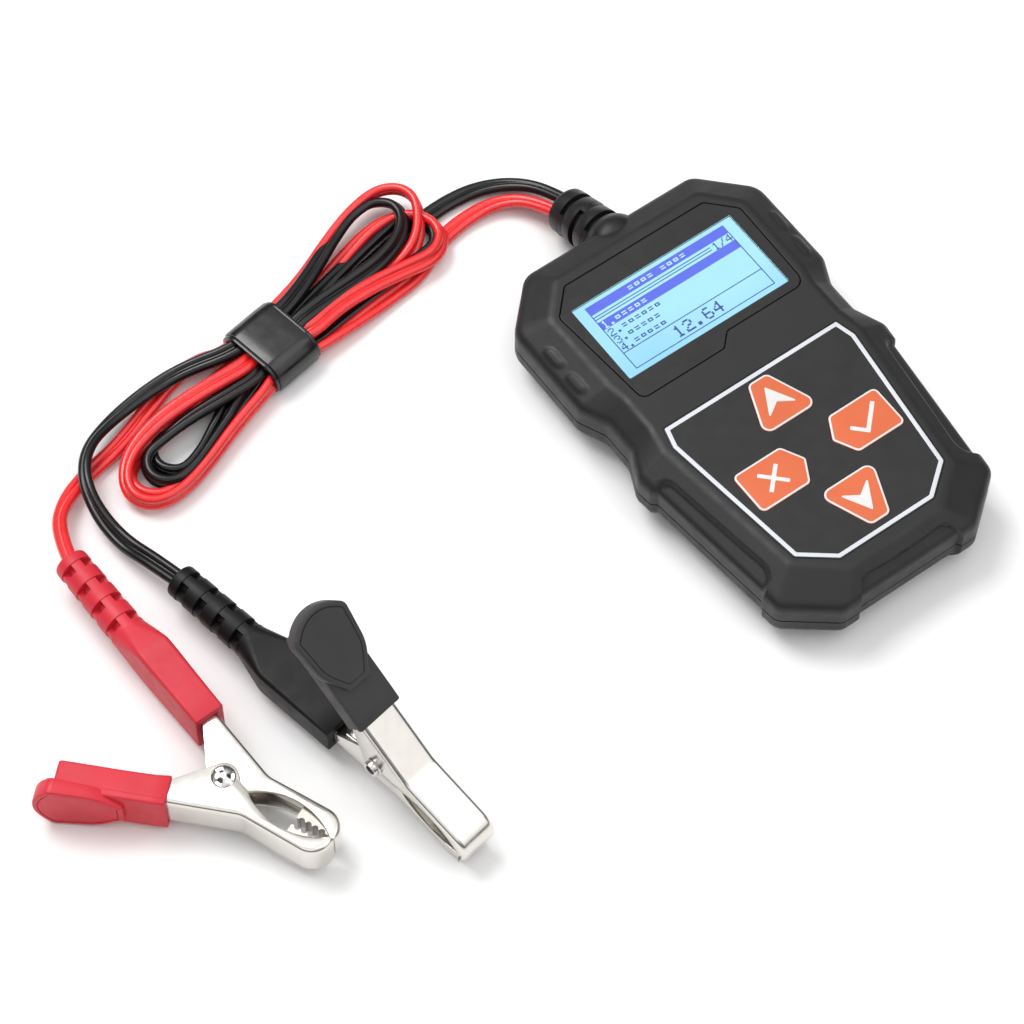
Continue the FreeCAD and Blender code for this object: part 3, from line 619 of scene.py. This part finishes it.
# ---------------- display
WINDOW = rectangle(-25.25, 19.2, 25.25, 44.2, 0.4)
GLASS = rectangle(-25.6, 18.9, 25.6, 44.5, 0.3)
LENS_LOW = 21.2
LCD_TOP = 21.1
DOT = 0.344                 # pitch of the display's dots
DOTS_AT = (-21.8, 43.1)     # upper left corner of the dots
GLYPHS = {
    "1": "00100 01100 00100 00100 00100 00100 01110", "2": "01110 10001 00001 00110 01000 10000 11111",
    "3": "01110 10001 00001 00110 00001 10001 01110", "4": "00010 00110 01010 10010 11111 00010 00010",
    "6": "01110 10000 10000 11110 10001 10001 01110", "0": "01110 10001 10001 10001 10001 10001 01110",
    ".": "00000 00000 00000 00000 00000 01100 01100", "/": "00001 00010 00010 00100 01000 01000 10000",
    "=": "00000 00000 11110 00000 11110 00000 00000", "o": "00000 00000 11110 10010 11110 00000 00000"}


def marks(text, col, row, scale=1):
    """Runs of dots as (left, top, right, bottom) in dots; '=' and 'o' stand in for words."""
    runs = []
    for place, sign in enumerate(text):
        for r, line in enumerate(GLYPHS.get(sign, "").split()):
            above, below = row + r * scale, row + (r + 1) * scale
            start = None
            for c, dot in enumerate(line + "0"):
                if dot == "1" and start is None:
                    start = c
                elif dot == "0" and start is not None:
                    left = col + (place * 6 + start) * scale
                    runs.append((left, above, left + (c - start) * scale, below))
                    start = None
    return runs


def printed(name, boxes, mat, z):
    """Flat marks on the display, from boxes in dots."""
    verts, faces = [], []
    for left, top, right, bottom in boxes:
        start = len(verts)
        x0, x1 = DOTS_AT[0] + left * DOT, DOTS_AT[0] + right * DOT
        y0, y1 = DOTS_AT[1] - bottom * DOT, DOTS_AT[1] - top * DOT
        verts += [(x0, y0, z), (x1, y0, z), (x1, y1, z), (x0, y1, z)]
        faces.append((start, start + 1, start + 2, start + 3))
    piece(name, (verts, faces), [mat])


def display():
    frame_mat = moulded("lens_black", (0.017, 0.017, 0.0175), 0.30, 1400, 0.00002, specular=0.35)
    edge = stepped(LENS, ((0.16, TOP), (0.05, TOP - 0.05), (0, TOP - 0.16), (0, LENS_LOW)))
    hole = stepped(WINDOW, ((0, TOP), (0.04, TOP - 0.03), (0.04, LENS_LOW)))
    top = sheet_faces([edge[0], hole[0]], TOP)
    piece("lens_frame", merged(top, skin(edge), skin(hole)), [frame_mat],
          swap=["display_lens"])
    clear = material("lens_clear", (1, 1, 1), 0.03, Transmission_Weight=1, IOR=1.2)
    add_bump(clear, noise(clear, 90, 1).outputs["Fac"], 0.02, 0.00002)
    pane = stepped(WINDOW, ((0.05, TOP - 0.32), (0.05, TOP - 0.05), (0.09, TOP - 0.02)))
    piece("lens_window", capped(pane), [clear])
    lit = glowing("lcd_lit", (0.30, 0.69, 0.96), (0.43, 0.84, 1), 1)
    glass = stepped(GLASS, ((0, LCD_TOP - 0.9), (0, LCD_TOP - 0.05), (0.05, LCD_TOP)))
    piece("lcd_panel", capped(glass), [lit], swap=["lcd_glass"])
    blue = glowing("lcd_blue", (0.085, 0.125, 0.80), (0.12, 0.165, 0.90), 0.95)
    ink = glowing("lcd_ink", (0.035, 0.065, 0.36), (0.05, 0.085, 0.44), 0.9)
    pale = glowing("lcd_pale", (0.45, 0.78, 1), (0.55, 0.88, 1), 1)
    printed("lcd_bars", [(0, 0, 128, 8), (0, 15.6, 128, 23.4)], blue, LCD_TOP + 0.015)
    lines = [(0, 10.2, 108, 11), (0, 12.6, 108, 13.4), (0, 47.4, 128, 48.2), (0, 63.2, 128, 64),
             (0, 8, 0.8, 64), (127.2, 8, 128, 64)]
    lines += marks("1/4", 110, 8.4) + marks("2.=o=o=o", 2, 24.4) + marks("3.o==o=", 2, 32.2)
    lines += marks("4.=oo=o", 2, 40) + marks("12.64", 41, 50.6, 1.5)
    printed("lcd_marks", lines, ink, LCD_TOP + 0.02)
    printed("lcd_pale_marks", marks("=oo= =oo=", 37, 0.6) + marks("1.o==o=", 2, 16), pale, LCD_TOP + 0.025)


display()


# ---------------- keypad
KEY_MID = (0.3, -24.4)
ARROW_KEY = [(-3, 24.9, 1.9), (3, 24.9, 1.9), (8.8, 10.5, 2.3), (-8.8, 10.5, 2.3)]
SIDE_KEY = [(7.6, 5.9, 1.6), (22.5, 5.9, 1.6), (22.5, -6.7, 1.6), (7.6, -6.7, 1.6), (4.2, -0.4, 1.2)]
ARROW_SIGN = [(0, 21.9, 0.12), (4.5, 13.8, 0.12), (0, 16.7, 0.12), (-4.5, 13.8, 0.12)]
TICK_SIGN = [(9.6, -0.5, 0.25), (10.4, 0.3, 0.25), (13.2, -2.5, 0.1), (18.9, 3.2, 0.25), (19.7, 2.4, 0.25),
             (13.2, -4.1, 0.25)]
KEY_TOP = 22.3
# A key's rings from its foot to its crown, as (inset, height, tone): tone 1 is the printed border.
KEY_STEPS = [(0, 21.65, 0), (0, 22.12, 0), (0.05, 22.22, 1), (0.16, KEY_TOP, 1), (0.56, KEY_TOP + 0.01, 1),
             (0.60, KEY_TOP + 0.01, 0), (1.1, KEY_TOP + 0.05, 0), (2.2, KEY_TOP + 0.09, 0)]
SIGN_STEPS = [(0, KEY_TOP + 0.02), (0, KEY_TOP + 0.11), (0.05, KEY_TOP + 0.13)]


def placed(points, sx=1, sy=1, drop=0):
    """An outline put round the middle of the keys, mirrored by sx and sy."""
    return [(KEY_MID[0] + sx * x, KEY_MID[1] + sy * y + drop, r) for x, y, r in points]


def cross_sign(x, y, reach, half):
    """Outline of a diagonal cross."""
    points = []
    for k in range(4):
        a = radians(45 + 90 * k)
        ahead, side = Vector((cos(a), sin(a))), Vector((-sin(a), cos(a)))
        for at, r in ((ahead * reach - side * half, 0.2), (ahead * reach + side * half, 0.2),
                      ((ahead + side) * half, 0.05)):
            points.append((x + at.x, y + at.y, r))
    return points


def key(name, outline, sign, orange, white):
    """Orange key with a white border and a raised sign."""
    rings = stepped(outline, [(d, z) for d, z, _ in KEY_STEPS])
    tones = []
    for (_, _, below), (_, _, above) in zip(KEY_STEPS, KEY_STEPS[1:]):
        tones += [below * above] * len(rings[0])
    body = name + "_body"
    piece(name + "_cap", capped(rings), [orange, white], body, tones, 50, [name])
    piece(name + "_sign", capped(stepped(sign, SIGN_STEPS)), [white], body, angle=50)


def keypad():
    black = moulded("film_black", (0.017, 0.017, 0.0175), 0.32, 1800, 0.00003, specular=0.35)
    orange = moulded("key_orange", (0.64, 0.137, 0.052), 0.42, 1600, 0.00003, 0.04, specular=0.3)
    white = moulded("print_white", (0.70, 0.68, 0.68), 0.40, 1600, 0.00002, 0.03)
    silver = moulded("print_silver", (0.62, 0.64, 0.68), 0.38, 1600, 0.00002, 0.04)
    outlines = {"key_up": (placed(ARROW_KEY), placed(ARROW_SIGN)),
                "key_down": (placed(ARROW_KEY, 1, -1), placed(ARROW_SIGN, 1, -1)),
                "key_enter": (placed(SIDE_KEY), placed(TICK_SIGN)),
                "key_exit": (placed(SIDE_KEY, -1, -1, -0.8),
                             cross_sign(KEY_MID[0] - 14.3, KEY_MID[1] - 0.4, 4.1, 0.55))}
    for name, (outline, sign) in outlines.items():
        key(name, outline, sign, orange, white)
    rim = stepped(KEYPAD, ((0.2, TOP), (0.1, TOP - 0.04), (0.1, TOP - 0.4)))
    holes = [stepped(outline, ((-0.16, TOP), (-0.16, TOP - 0.4))) for outline, _ in outlines.values()]
    top = sheet_faces([rim[0]] + [hole[0] for hole in holes], TOP)
    piece("film", merged(top, skin(rim), *map(skin, holes)), [black], swap=["keypad_film"])
    line = stepped(KEYPAD, ((0.42, TOP - 0.02), (0.44, TOP + 0.03), (0.50, TOP + 0.05),
                            (1.46, TOP + 0.05), (1.52, TOP + 0.03), (1.54, TOP - 0.02)))
    piece("film_frame_line", skin(line), [silver])


keypad()


# ---------------- cable gland and strap
GLAND_START = Vector((0, 62.7, 11))
GLAND_END = Vector((-1.6, 79.5, 7))
# Barrel profile: (distance along the axis, radius).
GLAND_PROFILE = [(-8, 6), (-6, 7.6), (-4.5, 8.2), (-3, 8.3), (-1.6, 8.1), (-0.5, 7.7), (0.3, 7.3),
                 (0.8, 7)]
GLAND_END_PROFILE = [(-2.1, 6.35), (-1.4, 6.2), (-0.95, 5.8), (-0.7, 5.2), (-0.65, 4.2)]    # from the end
BARREL_RADIUS, BARREL_TAPER = 6.9, 0.035
GLAND_GROOVES = (1.1, 6, 10.8)
GROOVE_WIDTH, GROOVE_DEPTH = 1.7, 1.5


def groove_open(turn, ring):
    """Whether the groove of this ring is cut at this angle: two arcs a ring, staggered."""
    return sin(2 * (turn - radians(30 + 90 * ring))) > -0.5


def gland():
    """Ringed strain relief round the two leads."""
    axis = (GLAND_END - GLAND_START).normalized()
    length = (GLAND_END - GLAND_START).length
    side = Vector((1, 0, 0))
    up = side.cross(axis).normalized()
    side = axis.cross(up).normalized()
    stations = [(s, r, None) for s, r in GLAND_PROFILE]
    for ring, s in enumerate(GLAND_GROOVES):
        radius = BARREL_RADIUS - BARREL_TAPER * s
        stations += [(s - 0.12, radius, None), (s, radius - 0.08, None), (s + 0.03, radius, ring),
                     (s + GROOVE_WIDTH - 0.03, radius, ring), (s + GROOVE_WIDTH, radius - 0.08, None),
                     (s + GROOVE_WIDTH + 0.12, radius, None)]
    stations += [(length + s, r, None) for s, r in GLAND_END_PROFILE]
    rings = []
    for s, r, ring in stations:
        loop = []
        for k in range(96):
            turn = tau * k / 96
            depth = GROOVE_DEPTH if ring is not None and groove_open(turn, ring) else 0.0
            spoke = side * cos(turn) + up * sin(turn)
            loop.append(GLAND_START + axis * s + spoke * (r - depth))
        rings.append(loop)
    rubber = moulded("gland_rubber", (0.009, 0.009, 0.0095), 0.40, 1500, 0.00006, specular=0.35)
    piece("strain_relief", capped(rings), [rubber], swap=["cable_gland"], angle=32)


gland()

STRAP_BOX = (-10.2, 0.35, 10.2, 9.5)
# Half of the strap's section, from its edge to its middle, as (along the leads, outwards).
STRAP_HALF = [(7.75, -0.9), (7.75, -0.3), (7.65, -0.08), (7.45, 0), (6.85, 0), (6.75, -0.04), (6.72, 0.1),
              (6.6, 0.28), (6.3, 0.35), (3, 0.37)]


def strap():
    """Moulded tie: a thin inner band with a thicker glossy sleeve round its middle."""
    across = [(-a, grow) for a, grow in STRAP_HALF] + [(0, 0.38)] + STRAP_HALF[::-1]
    across.append(across[0])
    x0, z0, x1, z1 = STRAP_BOX
    rings = []
    for a, grow in across:
        loop = simple([(x0 - grow, z0 - min(grow, 0.3), 4), (x1 + grow, z0 - min(grow, 0.3), 4),
                       (x1 + grow, z1 + grow, 5), (x0 - grow, z1 + grow, 5)], 16)
        dome = [(b, z + (0.6 * (1 - (b / 10.6) ** 2) if z > 5 else 0)) for b, z in loop]
        rings.append([in_hank(a, b, z) for b, z in dome])
    vinyl = moulded("strap_vinyl", (0.006, 0.006, 0.0065), 0.24, 500, 0.00006, Coat_Weight=0.15,
                    Coat_Roughness=0.12)
    piece("strap_band", skin(rings), [vinyl], swap=["cable_strap"], angle=32)


strap()


# ---------------- clamps
HANDLE_TILT = radians(20.76)
ALONG = Vector((-cos(HANDLE_TILT), sin(HANDLE_TILT), 0))
OUT = Vector((sin(HANDLE_TILT), cos(HANDLE_TILT), 0))
BACK_KINK = Vector((8.7, 6.4, 0))
HANDLE_START = Vector((-11, 6.4 + 19.7 * tan(HANDLE_TILT), 0))
JAW_TIP_U, JAW_BACK_V, TIP_RADIUS = 31.2, 6.6, 5.5
PLATE = 0.8
FIXED_HALF_W, MOVING_HALF_W = 4.3, 5.25
FIXED_LENGTH, MOVING_LENGTH = 27, 23.2        # how far the jaws' channels run up the handles
SLEEVE_HALF_W, FLARE_RADIUS = 6.4, 4.66
BOOT_MIDDLE, BOOT_START, BOOT_END = -3, 33.5, 58.5
BOOT_RADIUS, BOOT_TAPER = 4.72, 0.30
BOOT_SLOTS = [BOOT_END - 4.2 - 6.4 * k for k in range(4)]
PAD = [(6.9, -3.2, 1.2), (13.5, -7.3, 12), (24.8, -8.45, 2.4), (28.1, -4.6, 10), (29.3, 0, 10),
       (28.1, 4.6, 10), (24.8, 8.45, 2.4), (13.5, 7.3, 12), (6.9, 3.2, 1.2)]
CLAMPS = {"red": (Vector((-167.4, -9.8, 8.6)), -67.1, None),
          "black": (Vector((-131.9, -28.4, 15.7)), -79.8, -20)}


def clamp_axes(colour):
    pivot, turn, pitch = CLAMPS[colour]
    a = radians(turn)
    if pitch is None:
        u, w = heading(a), Vector((0, 0, 1))
    else:
        p = radians(pitch)
        u = Vector((cos(a) * cos(p), sin(a) * cos(p), sin(p)))
        w = Vector((-sin(a), cos(a), 0))
    return pivot, u, w.cross(u), w


def in_clamp(colour, points, flip=False):
    """Points from the clamp's own frame to the world; flip puts them on the moving side."""
    pivot, u, v, w = clamp_axes(colour)
    sign = -1.0 if flip else 1.0
    return [pivot + u * q[0] + v * (sign * q[1]) + w * q[2] for q in points]


def clamp_solid(colour, rings, flip=False):
    return capped([in_clamp(colour, ring, flip) for ring in rings])


def heading(a):
    """Unit vector at an angle in the clamp's plane."""
    return Vector((cos(a), sin(a), 0))


def on_handle(t, n, w=0):
    """Point t along a handle, n out from it and w across."""
    return HANDLE_START + ALONG * t + OUT * n + Vector((0, 0, w))


def sleeve_ring(t, low, high, half, radius):
    return [on_handle(t, n, w) for n, w in simple(rectangle(low, -half, high, half, radius), 15)]


def boot_rings():
    """Round boot with a groove at each station, cut deep on its four diagonals."""
    edges = sorted(c + d for c in BOOT_SLOTS for d in (-1.3, -1.2, 1.2, 1.3))
    stations = [BOOT_START] + edges + [BOOT_END - 0.7, BOOT_END - 0.3, BOOT_END - 0.08, BOOT_END]
    rings = []
    for t in stations:
        radius = BOOT_RADIUS - BOOT_TAPER * (t - BOOT_START) / (BOOT_END - BOOT_START)
        trim = {BOOT_END - 0.3: 0.15, BOOT_END - 0.08: 0.45, BOOT_END: 0.9}.get(t, 0)
        loop = simple(rectangle(-radius, -radius, radius, radius, radius - 0.05), 15)
        grooved = any(abs(t - c) < 1.25 for c in BOOT_SLOTS)
        ring = []
        for n, w in loop:
            deep = abs(degrees(atan2(w, n)) % 90.0 - 45) < 26.0
            depth = (1.9 if deep else 0.25) if grooved else 0.0
            scale = (radius - trim - depth) / radius
            ring.append(on_handle(t, BOOT_MIDDLE + n * scale, w * scale))
        rings.append(ring)
    return rings


def boot(colour, mat):
    """Sleeve of the fixed handle, flaring from a box section into the slotted round boot."""
    low, high = -6.3, 1.9
    rings = [sleeve_ring(3, -4.65, 0.05, 4.35, 0.3), sleeve_ring(0.12, -4.65, 0.05, 4.35, 0.3),
             sleeve_ring(0, -4.8, 0.2, 4.5, 0.35)]
    for t, d in ((0, 0.38), (0.1, 0.12), (0.38, 0)):
        rings.append(sleeve_ring(t, low + d, high - d, SLEEVE_HALF_W - d, 0.75))
    for t, g in ((6, 0.08), (12, 0.22), (17, 0.36), (20, 0.44), (22.6, 0.46)):
        rings.append(sleeve_ring(t, low - g, high + g, SLEEVE_HALF_W + g * 0.4, 0.8 + g))
    square = (low - 0.46, high + 0.46, 6.58, 1.2)
    tube = (BOOT_MIDDLE - FLARE_RADIUS, BOOT_MIDDLE + FLARE_RADIUS, FLARE_RADIUS, FLARE_RADIUS - 0.06)
    for t, share in ((23.6, 0.03), (24.6, 0.10), (27, 0.34), (29.4, 0.60), (31.4, 0.82), (32.6, 0.94),
                     (33.2, 0.985)):
        rings.append(sleeve_ring(t, *[a + (b - a) * share for a, b in zip(square, tube)]))
    rings += boot_rings()
    piece(colour + "_boot_sleeve", clamp_solid(colour, rings), [mat],
          swap=[colour + "_boot"], angle=32)


def grip_ring(t, low, high, d=0):
    """Section of the moving sleeve: its outer third stands a step wider."""
    step = -0.5
    half = [(low + d, -5.95 + d, 0.7), (step, -5.95 + d, 0.12), (step + 0.25, -6.45 + d, 0.12),
            (high - d, -6.45 + d, 0.6)]
    return [on_handle(t, n, w) for n, w in simple(doubled(half), 4)]


def grip(colour, mat):
    """Sleeve of the moving handle with its shield-shaped thumb pad."""
    hole = doubled([(-6.5, -5.3, 0.3), (-3, -5.3, 0.1), (-2, -5.3, 0.1), (0.05, -5.3, 0.3)])
    rings = [[on_handle(t, n, w) for n, w in simple(hole, 4)] for t in (-1.4, -3.15)]
    rings += [grip_ring(t, -7, 1.3, d) for t, d in ((-3.2, 0.35), (-3.1, 0.12), (-2.85, 0))]
    rings += [grip_ring(0.5, -6.6, 1.45), grip_ring(8, -6.4, 1.55), grip_ring(16, -6.35, 1.6),
              grip_ring(23.4, -6.3, 1.6), grip_ring(23.9, -6.3, 1.6, 0.08), grip_ring(24.2, -6.3, 1.6, 0.3),
              grip_ring(24.3, -6.3, 1.6, 0.65)]
    body, slot, swap = colour + "_jaw_body", colour + "_vinyl", [colour + "_grip"]
    piece(colour + "_grip_sleeve", clamp_solid(colour, rings, True), [mat], body, angle=32, swap=swap)
    steps = [(0.6, -9), (0.15, -8.9), (0, -8.3), (0, -0.75), (0.12, -0.3), (0.45, -0.06), (0.8, 0),
             (1.25, -0.02), (1.32, -0.30), (1.52, -0.34), (1.60, -0.12), (2, -0.15), (2.4, -0.17)]
    rings = []
    for d, drop in steps:
        ring = []
        for t, w in simple(inset(PAD, d), 8):
            face = 2.9 + 1.6 * (t - 7.5) / 20.7
            ring.append(on_handle(t, face + drop if drop > -8 else 0.3 + (drop + 8.3) * 0.5, w))
        rings.append(ring)
    piece(colour + "_thumb_pad", clamp_solid(colour, rings, True), [mat], body, angle=30, swap=swap)


def arc_points(centre, radius, start, end, count):
    """Points of an arc between two angles in degrees."""
    angles = [radians(start + (end - start) * k / count) for k in range(count + 1)]
    return [Vector((centre[0] + radius * cos(a), centre[1] + radius * sin(a), 0)) for a in angles]


def jaw_back(length):
    """Points and outward normals along a jaw's back, from the handle's end to the tip."""
    tilt = degrees(HANDLE_TILT)
    line = [(on_handle(length * (1 - k / 6), 0), OUT) for k in range(6)]
    bend = 6.0
    centre = BACK_KINK + Vector((tan(HANDLE_TILT / 2) * bend, bend, 0))
    for k in range(7):
        spoke = heading(radians(-90 - tilt + tilt * k / 6))
        line.append((centre + spoke * bend, -spoke))
    top = Vector((JAW_TIP_U - TIP_RADIUS, JAW_BACK_V - TIP_RADIUS, 0))
    for k in range(13):
        spoke = heading(radians(90 - 7.5 * k))
        line.append((top + spoke * TIP_RADIUS, spoke))
    line.append((Vector((JAW_TIP_U, 0.15, 0)), Vector((1, 0, 0))))
    return line


def jaw_inner(length):
    """Edge of the side plates: tip, mouth, pivot lobe and the handle's end."""
    mouth = arc_points((18.55, -14.58), 18.78, 52, 128.4, 22)
    lobe = arc_points((0, 0), 3.9, -20, -150, 14)
    return mouth + lobe + [on_handle(-0.5, -4.6), on_handle(length, -4.6)]


def settled(obj):
    """Make an object's modifiers part of its mesh."""
    mesh = bpy.data.meshes.new_from_object(obj.evaluated_get(bpy.context.evaluated_depsgraph_get()))
    obj.modifiers.clear()
    obj.data = mesh


def jaw(colour, which, half, length, bend, mat):
    """Stamped channel: web along the back, rounded bends, and two side plates."""
    moving = which == "moving"
    back = jaw_back(length)
    section = []
    for k in range(6):
        a = radians(90 * k / 5)
        section.append((bend - bend * sin(a), half - bend + bend * cos(a)))
    section += [(0, w) for w in (0.6 * half, 0.2 * half)]
    section += [(d, -w) for d, w in reversed(section)]
    rows = [[at - normal * d + Vector((0, 0, w)) for d, w in section] for at, normal in back]
    parts = [skin(rows, closed=False)]
    edge = jaw_inner(length)
    for side, column in ((half, 0), (-half, len(section) - 1)):
        outline = [row[column] for row in rows] + [p + Vector((0, 0, side)) for p in edge]
        flat = [Vector((p.x, p.y, 0)) for p in outline]
        parts.append(([tuple(p) for p in outline], [tuple(t) for t in tessellate_polygon([flat])]))
    verts, faces = merged(*parts)
    verts = in_clamp(colour, [Vector(v) for v in verts], moving)
    name = colour + "_" + which + "_jaw"
    obj = piece(name + "_plate", (verts, faces), [mat],
                colour + "_jaw_body" if moving else "tester", swap=[name])
    recalculated(obj.data, weld=0.00001)
    shell = obj.modifiers.new("plate", "SOLIDIFY")
    shell.thickness = PLATE * MM
    shell.offset = -1.0 if outward(obj, colour, moving) else 1.0
    shell.use_even_offset = True
    rim = obj.modifiers.new("rim", "BEVEL")
    rim.width = 0.00016
    rim.segments = 2
    rim.limit_method = "ANGLE"
    rim.angle_limit = radians(50)
    settled(obj)
    obj.data.shade_smooth()
    obj.data.set_sharp_from_angle(angle=radians(28))


def outward(obj, colour, moving):
    """Whether the face normals of a jaw point away from its inside."""
    spot = in_clamp(colour, [Vector((14, JAW_BACK_V, 0))], moving)[0] * MM
    inner = in_clamp(colour, [Vector((14, 2, 0))], moving)[0] * MM
    face = min(obj.data.polygons, key=lambda polygon: (polygon.center - spot).length)
    return face.normal.dot(spot - inner) > 0


def rivet(colour, mat, dark):
    """Rivet: a crimped head with three dents, and a rolled tube end on the other side."""
    reach = MOVING_HALF_W + 0.05
    rings, depths = [], []
    for r in (0.35, 0.7, 0.95, 1.15, 1.4, 1.7, 2, 2.25, 2.45, 2.65, 2.8, 2.93, 3):
        ring = []
        for k in range(72):
            turn = tau * k / 72
            lobe = cos(3 * (turn - radians(30)))
            dent = smooth_step(0.15, 0.45, lobe) * smooth_step(0.75, 1.1, r) * smooth_step(2.75, 2.5, r)
            height = 0.95 * (1 - (r / 3.05) ** 3) - 0.75 * dent
            ring.append(Vector((r * cos(turn), r * sin(turn), reach + height)))
            depths.append(dent)
        rings.append(ring)
    rings.append([Vector((p.x, p.y, reach - 0.02)) for p in rings[-1]])
    rings.append([Vector((p.x * 0.62, p.y * 0.62, reach - 0.02)) for p in rings[-1]])
    for r, drop in ((1.86, 0), (2.35, 0), (2.4, 0.25), (2.15, 0.4), (2.1, 1.3), (1.95, 1.6), (1.6, 1.65),
                    (1.35, 1.5), (1.3, -1.2)):
        rings.append([Vector(p) for p in lifted(circle(0, 0, r, 72), -reach - drop)])
    shape = clamp_solid(colour, rings)
    tones = [1 if max(face) < len(depths) and min(depths[i] for i in face) > 0.6 else 0 for face in shape[1]]
    piece(colour + "_rivet", shape, [mat, dark], tones=tones, angle=40,
          swap=[colour + "_pivot_rivet"])


def spring(colour, mat):
    """Wire coil round the rivet with the leg that bears on the fixed handle."""
    line = [Vector((-10, 8.6, -2.4)), Vector((-6, 6, -2.5))]
    turns, radius = 4.5, 2.95
    for k in range(int(turns * 20) + 1):
        a = radians(115 + 18 * k)
        line.append(Vector((radius * cos(a), radius * sin(a), -2.5 + 5.0 * k / (turns * 20))))
    rings = []
    for i, at in enumerate(line):
        ahead = (line[min(i + 1, len(line) - 1)] - line[max(i - 1, 0)]).normalized()
        side = ahead.cross(Vector((0, 0, 1))).normalized()
        up = side.cross(ahead)
        rings.append([at + (side * cos(tau * k / 10) + up * sin(tau * k / 10)) * 0.52
                      for k in range(10)])
    piece(colour + "_spring", clamp_solid(colour, rings), [mat], angle=50,
          swap=[colour + "_spring_coil"])


def clamps():
    nickel = metal("jaw_nickel", (0.74, 0.71, 0.665), 0.22, 300)
    teeth = metal("teeth_nickel", (0.40, 0.375, 0.34), 0.30, 600)
    steel = metal("rivet_steel", (0.70, 0.69, 0.67), 0.20, 600)
    dark = metal("crimp_shadow", (0.05, 0.05, 0.05), 0.45, 600)
    wire_mat = metal("spring_steel", (0.55, 0.54, 0.52), 0.25, 900)
    red = moulded("red_vinyl", (0.60, 0.024, 0.042), 0.46, 1500, 0.00006, specular=0.35)
    black = moulded("black_vinyl", (0.006, 0.006, 0.0064), 0.46, 1500, 0.00006, specular=0.24)
    # black_grip is the black vinyl painted lighter: painted light standing in for the light on the moving
    # sleeve's upward faces, while the boot keeps the darker black_vinyl
    black_grip = moulded("black_grip", (0.034, 0.034, 0.0345), 0.50, 1500, 0.00006, specular=0.4)
    copper = metal("copper", (0.72, 0.36, 0.20), 0.30, 900)
    for colour, fixed_vinyl, moving_vinyl in (("red", red, red), ("black", black, black_grip)):
        boot(colour, fixed_vinyl)
        grip(colour, moving_vinyl)
        jaw(colour, "fixed", FIXED_HALF_W, FIXED_LENGTH, 1, nickel)
        jaw(colour, "moving", MOVING_HALF_W, MOVING_LENGTH, 1.2, nickel)
        rivet(colour, steel, dark)
        spring(colour, wire_mat)
        repaint(teeth, colour + "_fixed_teeth", colour + "_moving_teeth")
        repaint(wire_mat, colour + "_spring_arm")
        repaint(copper, colour + "_wire_crimp")


clamps()


def inside():
    """Finishes for the parts under the housing and the screws in its back."""
    repaint(moulded("board_green", (0.010, 0.080, 0.040), 0.35, 1200, 0.00004, 0.25), "circuit_board")
    plastics = (
        ("stem_black", (0.02, 0.02, 0.02), 0.45, 1500, 0.00003, "stem_up stem_down stem_enter stem_exit"),
        ("chip_black", (0.018, 0.018, 0.019), 0.50, 2400, 0.00004, "microcontroller signal_chips buzzer"),
        ("ceramic_white", (0.62, 0.61, 0.57), 0.60, 1800, 0.00006, "load_resistors"),
        ("backlight_white", (0.75, 0.78, 0.80), 0.40, 900, 0.00002, "lcd_backlight"),
        ("wire_red", (0.55, 0.03, 0.03), 0.38, 900, 0.00004, "inner_wires"))
    metals = (
        ("screw_steel", (0.42, 0.42, 0.43), 0.28, 1500, "housing_screws"),
        ("can_steel", (0.66, 0.66, 0.66), 0.30, 1500, "tactile_switches lcd_frame"),
        ("tin", (0.72, 0.72, 0.70), 0.32, 1500, "solder_terminals"))
    for *look, nodes in plastics:
        repaint(moulded(*look), *nodes.split())
    for *look, nodes in metals:
        repaint(metal(*look), *nodes.split())


inside()


# Area lamps as (name, place, watts, size), in metres.
LIGHTS = [("key", (-0.30, 0.90, 1.45), 19, 0.9), ("fill", (-0.9, -0.5, 1), 1, 1),
          ("side", (0.30, -0.34, 1.12), 2.7, 0.9), ("front", (0.45, -1.03, 0.62), 1.5, 0.7)]
LIGHTS_AIM = Vector((-0.06, 0.02, 0))
SKY = ((0, 0.05), (0.4, 0.24), (0.82, 1.1))       # grey by height, from nadir to zenith


def floor_and_light():
    scene = bpy.context.scene
    scene.view_settings.view_transform = "Standard"
    world = bpy.data.worlds.new("studio")
    world.use_nodes = True
    nodes, links = world.node_tree.nodes, world.node_tree.links
    coord = nodes.new("ShaderNodeTexCoord")
    parts = nodes.new("ShaderNodeSeparateXYZ")
    bands = nodes.new("ShaderNodeValToRGB")
    bands.color_ramp.elements.new(0.4)
    for stop, (height, tone) in zip(bands.color_ramp.elements, SKY):
        stop.position = height
        stop.color = (tone, tone, tone, 1)
    links.new(coord.outputs["Generated"], parts.inputs["Vector"])
    links.new(parts.outputs["Z"], bands.inputs["Fac"])
    links.new(bands.outputs["Color"], nodes["Background"].inputs["Color"])
    nodes["Background"].inputs["Strength"].default_value = 0.85
    scene.world = world
    plane = bpy.data.meshes.new("floor")
    plane.from_pydata([(-3, -3, 0), (3, -3, 0), (3, 3, 0), (-3, 3, 0)], [], [(0, 1, 2, 3)])
    plane.materials.append(material("floor_paint", (0.92, 0.92, 0.92), 0.9))
    add("floor", plane)
    for name, at, power, size in LIGHTS:
        light = bpy.data.lights.new(name, "AREA")
        light.energy = power
        light.size = size
        lamp = add(name, light)
        lamp.location = at
        lamp.rotation_euler = (LIGHTS_AIM - Vector(at)).to_track_quat("-Z", "Y").to_euler()


floor_and_light()

CLAMP_PARTS = ("boot grip fixed_jaw moving_jaw fixed_teeth moving_teeth pivot_rivet spring_coil spring_arm"
               " wire_crimp")
for colour in ("black", "red"):
    on_it = [colour + "_" + part for part in CLAMP_PARTS.split()]
    on_it += ["cable_strap", "cable_gland"] if colour == "black" else []
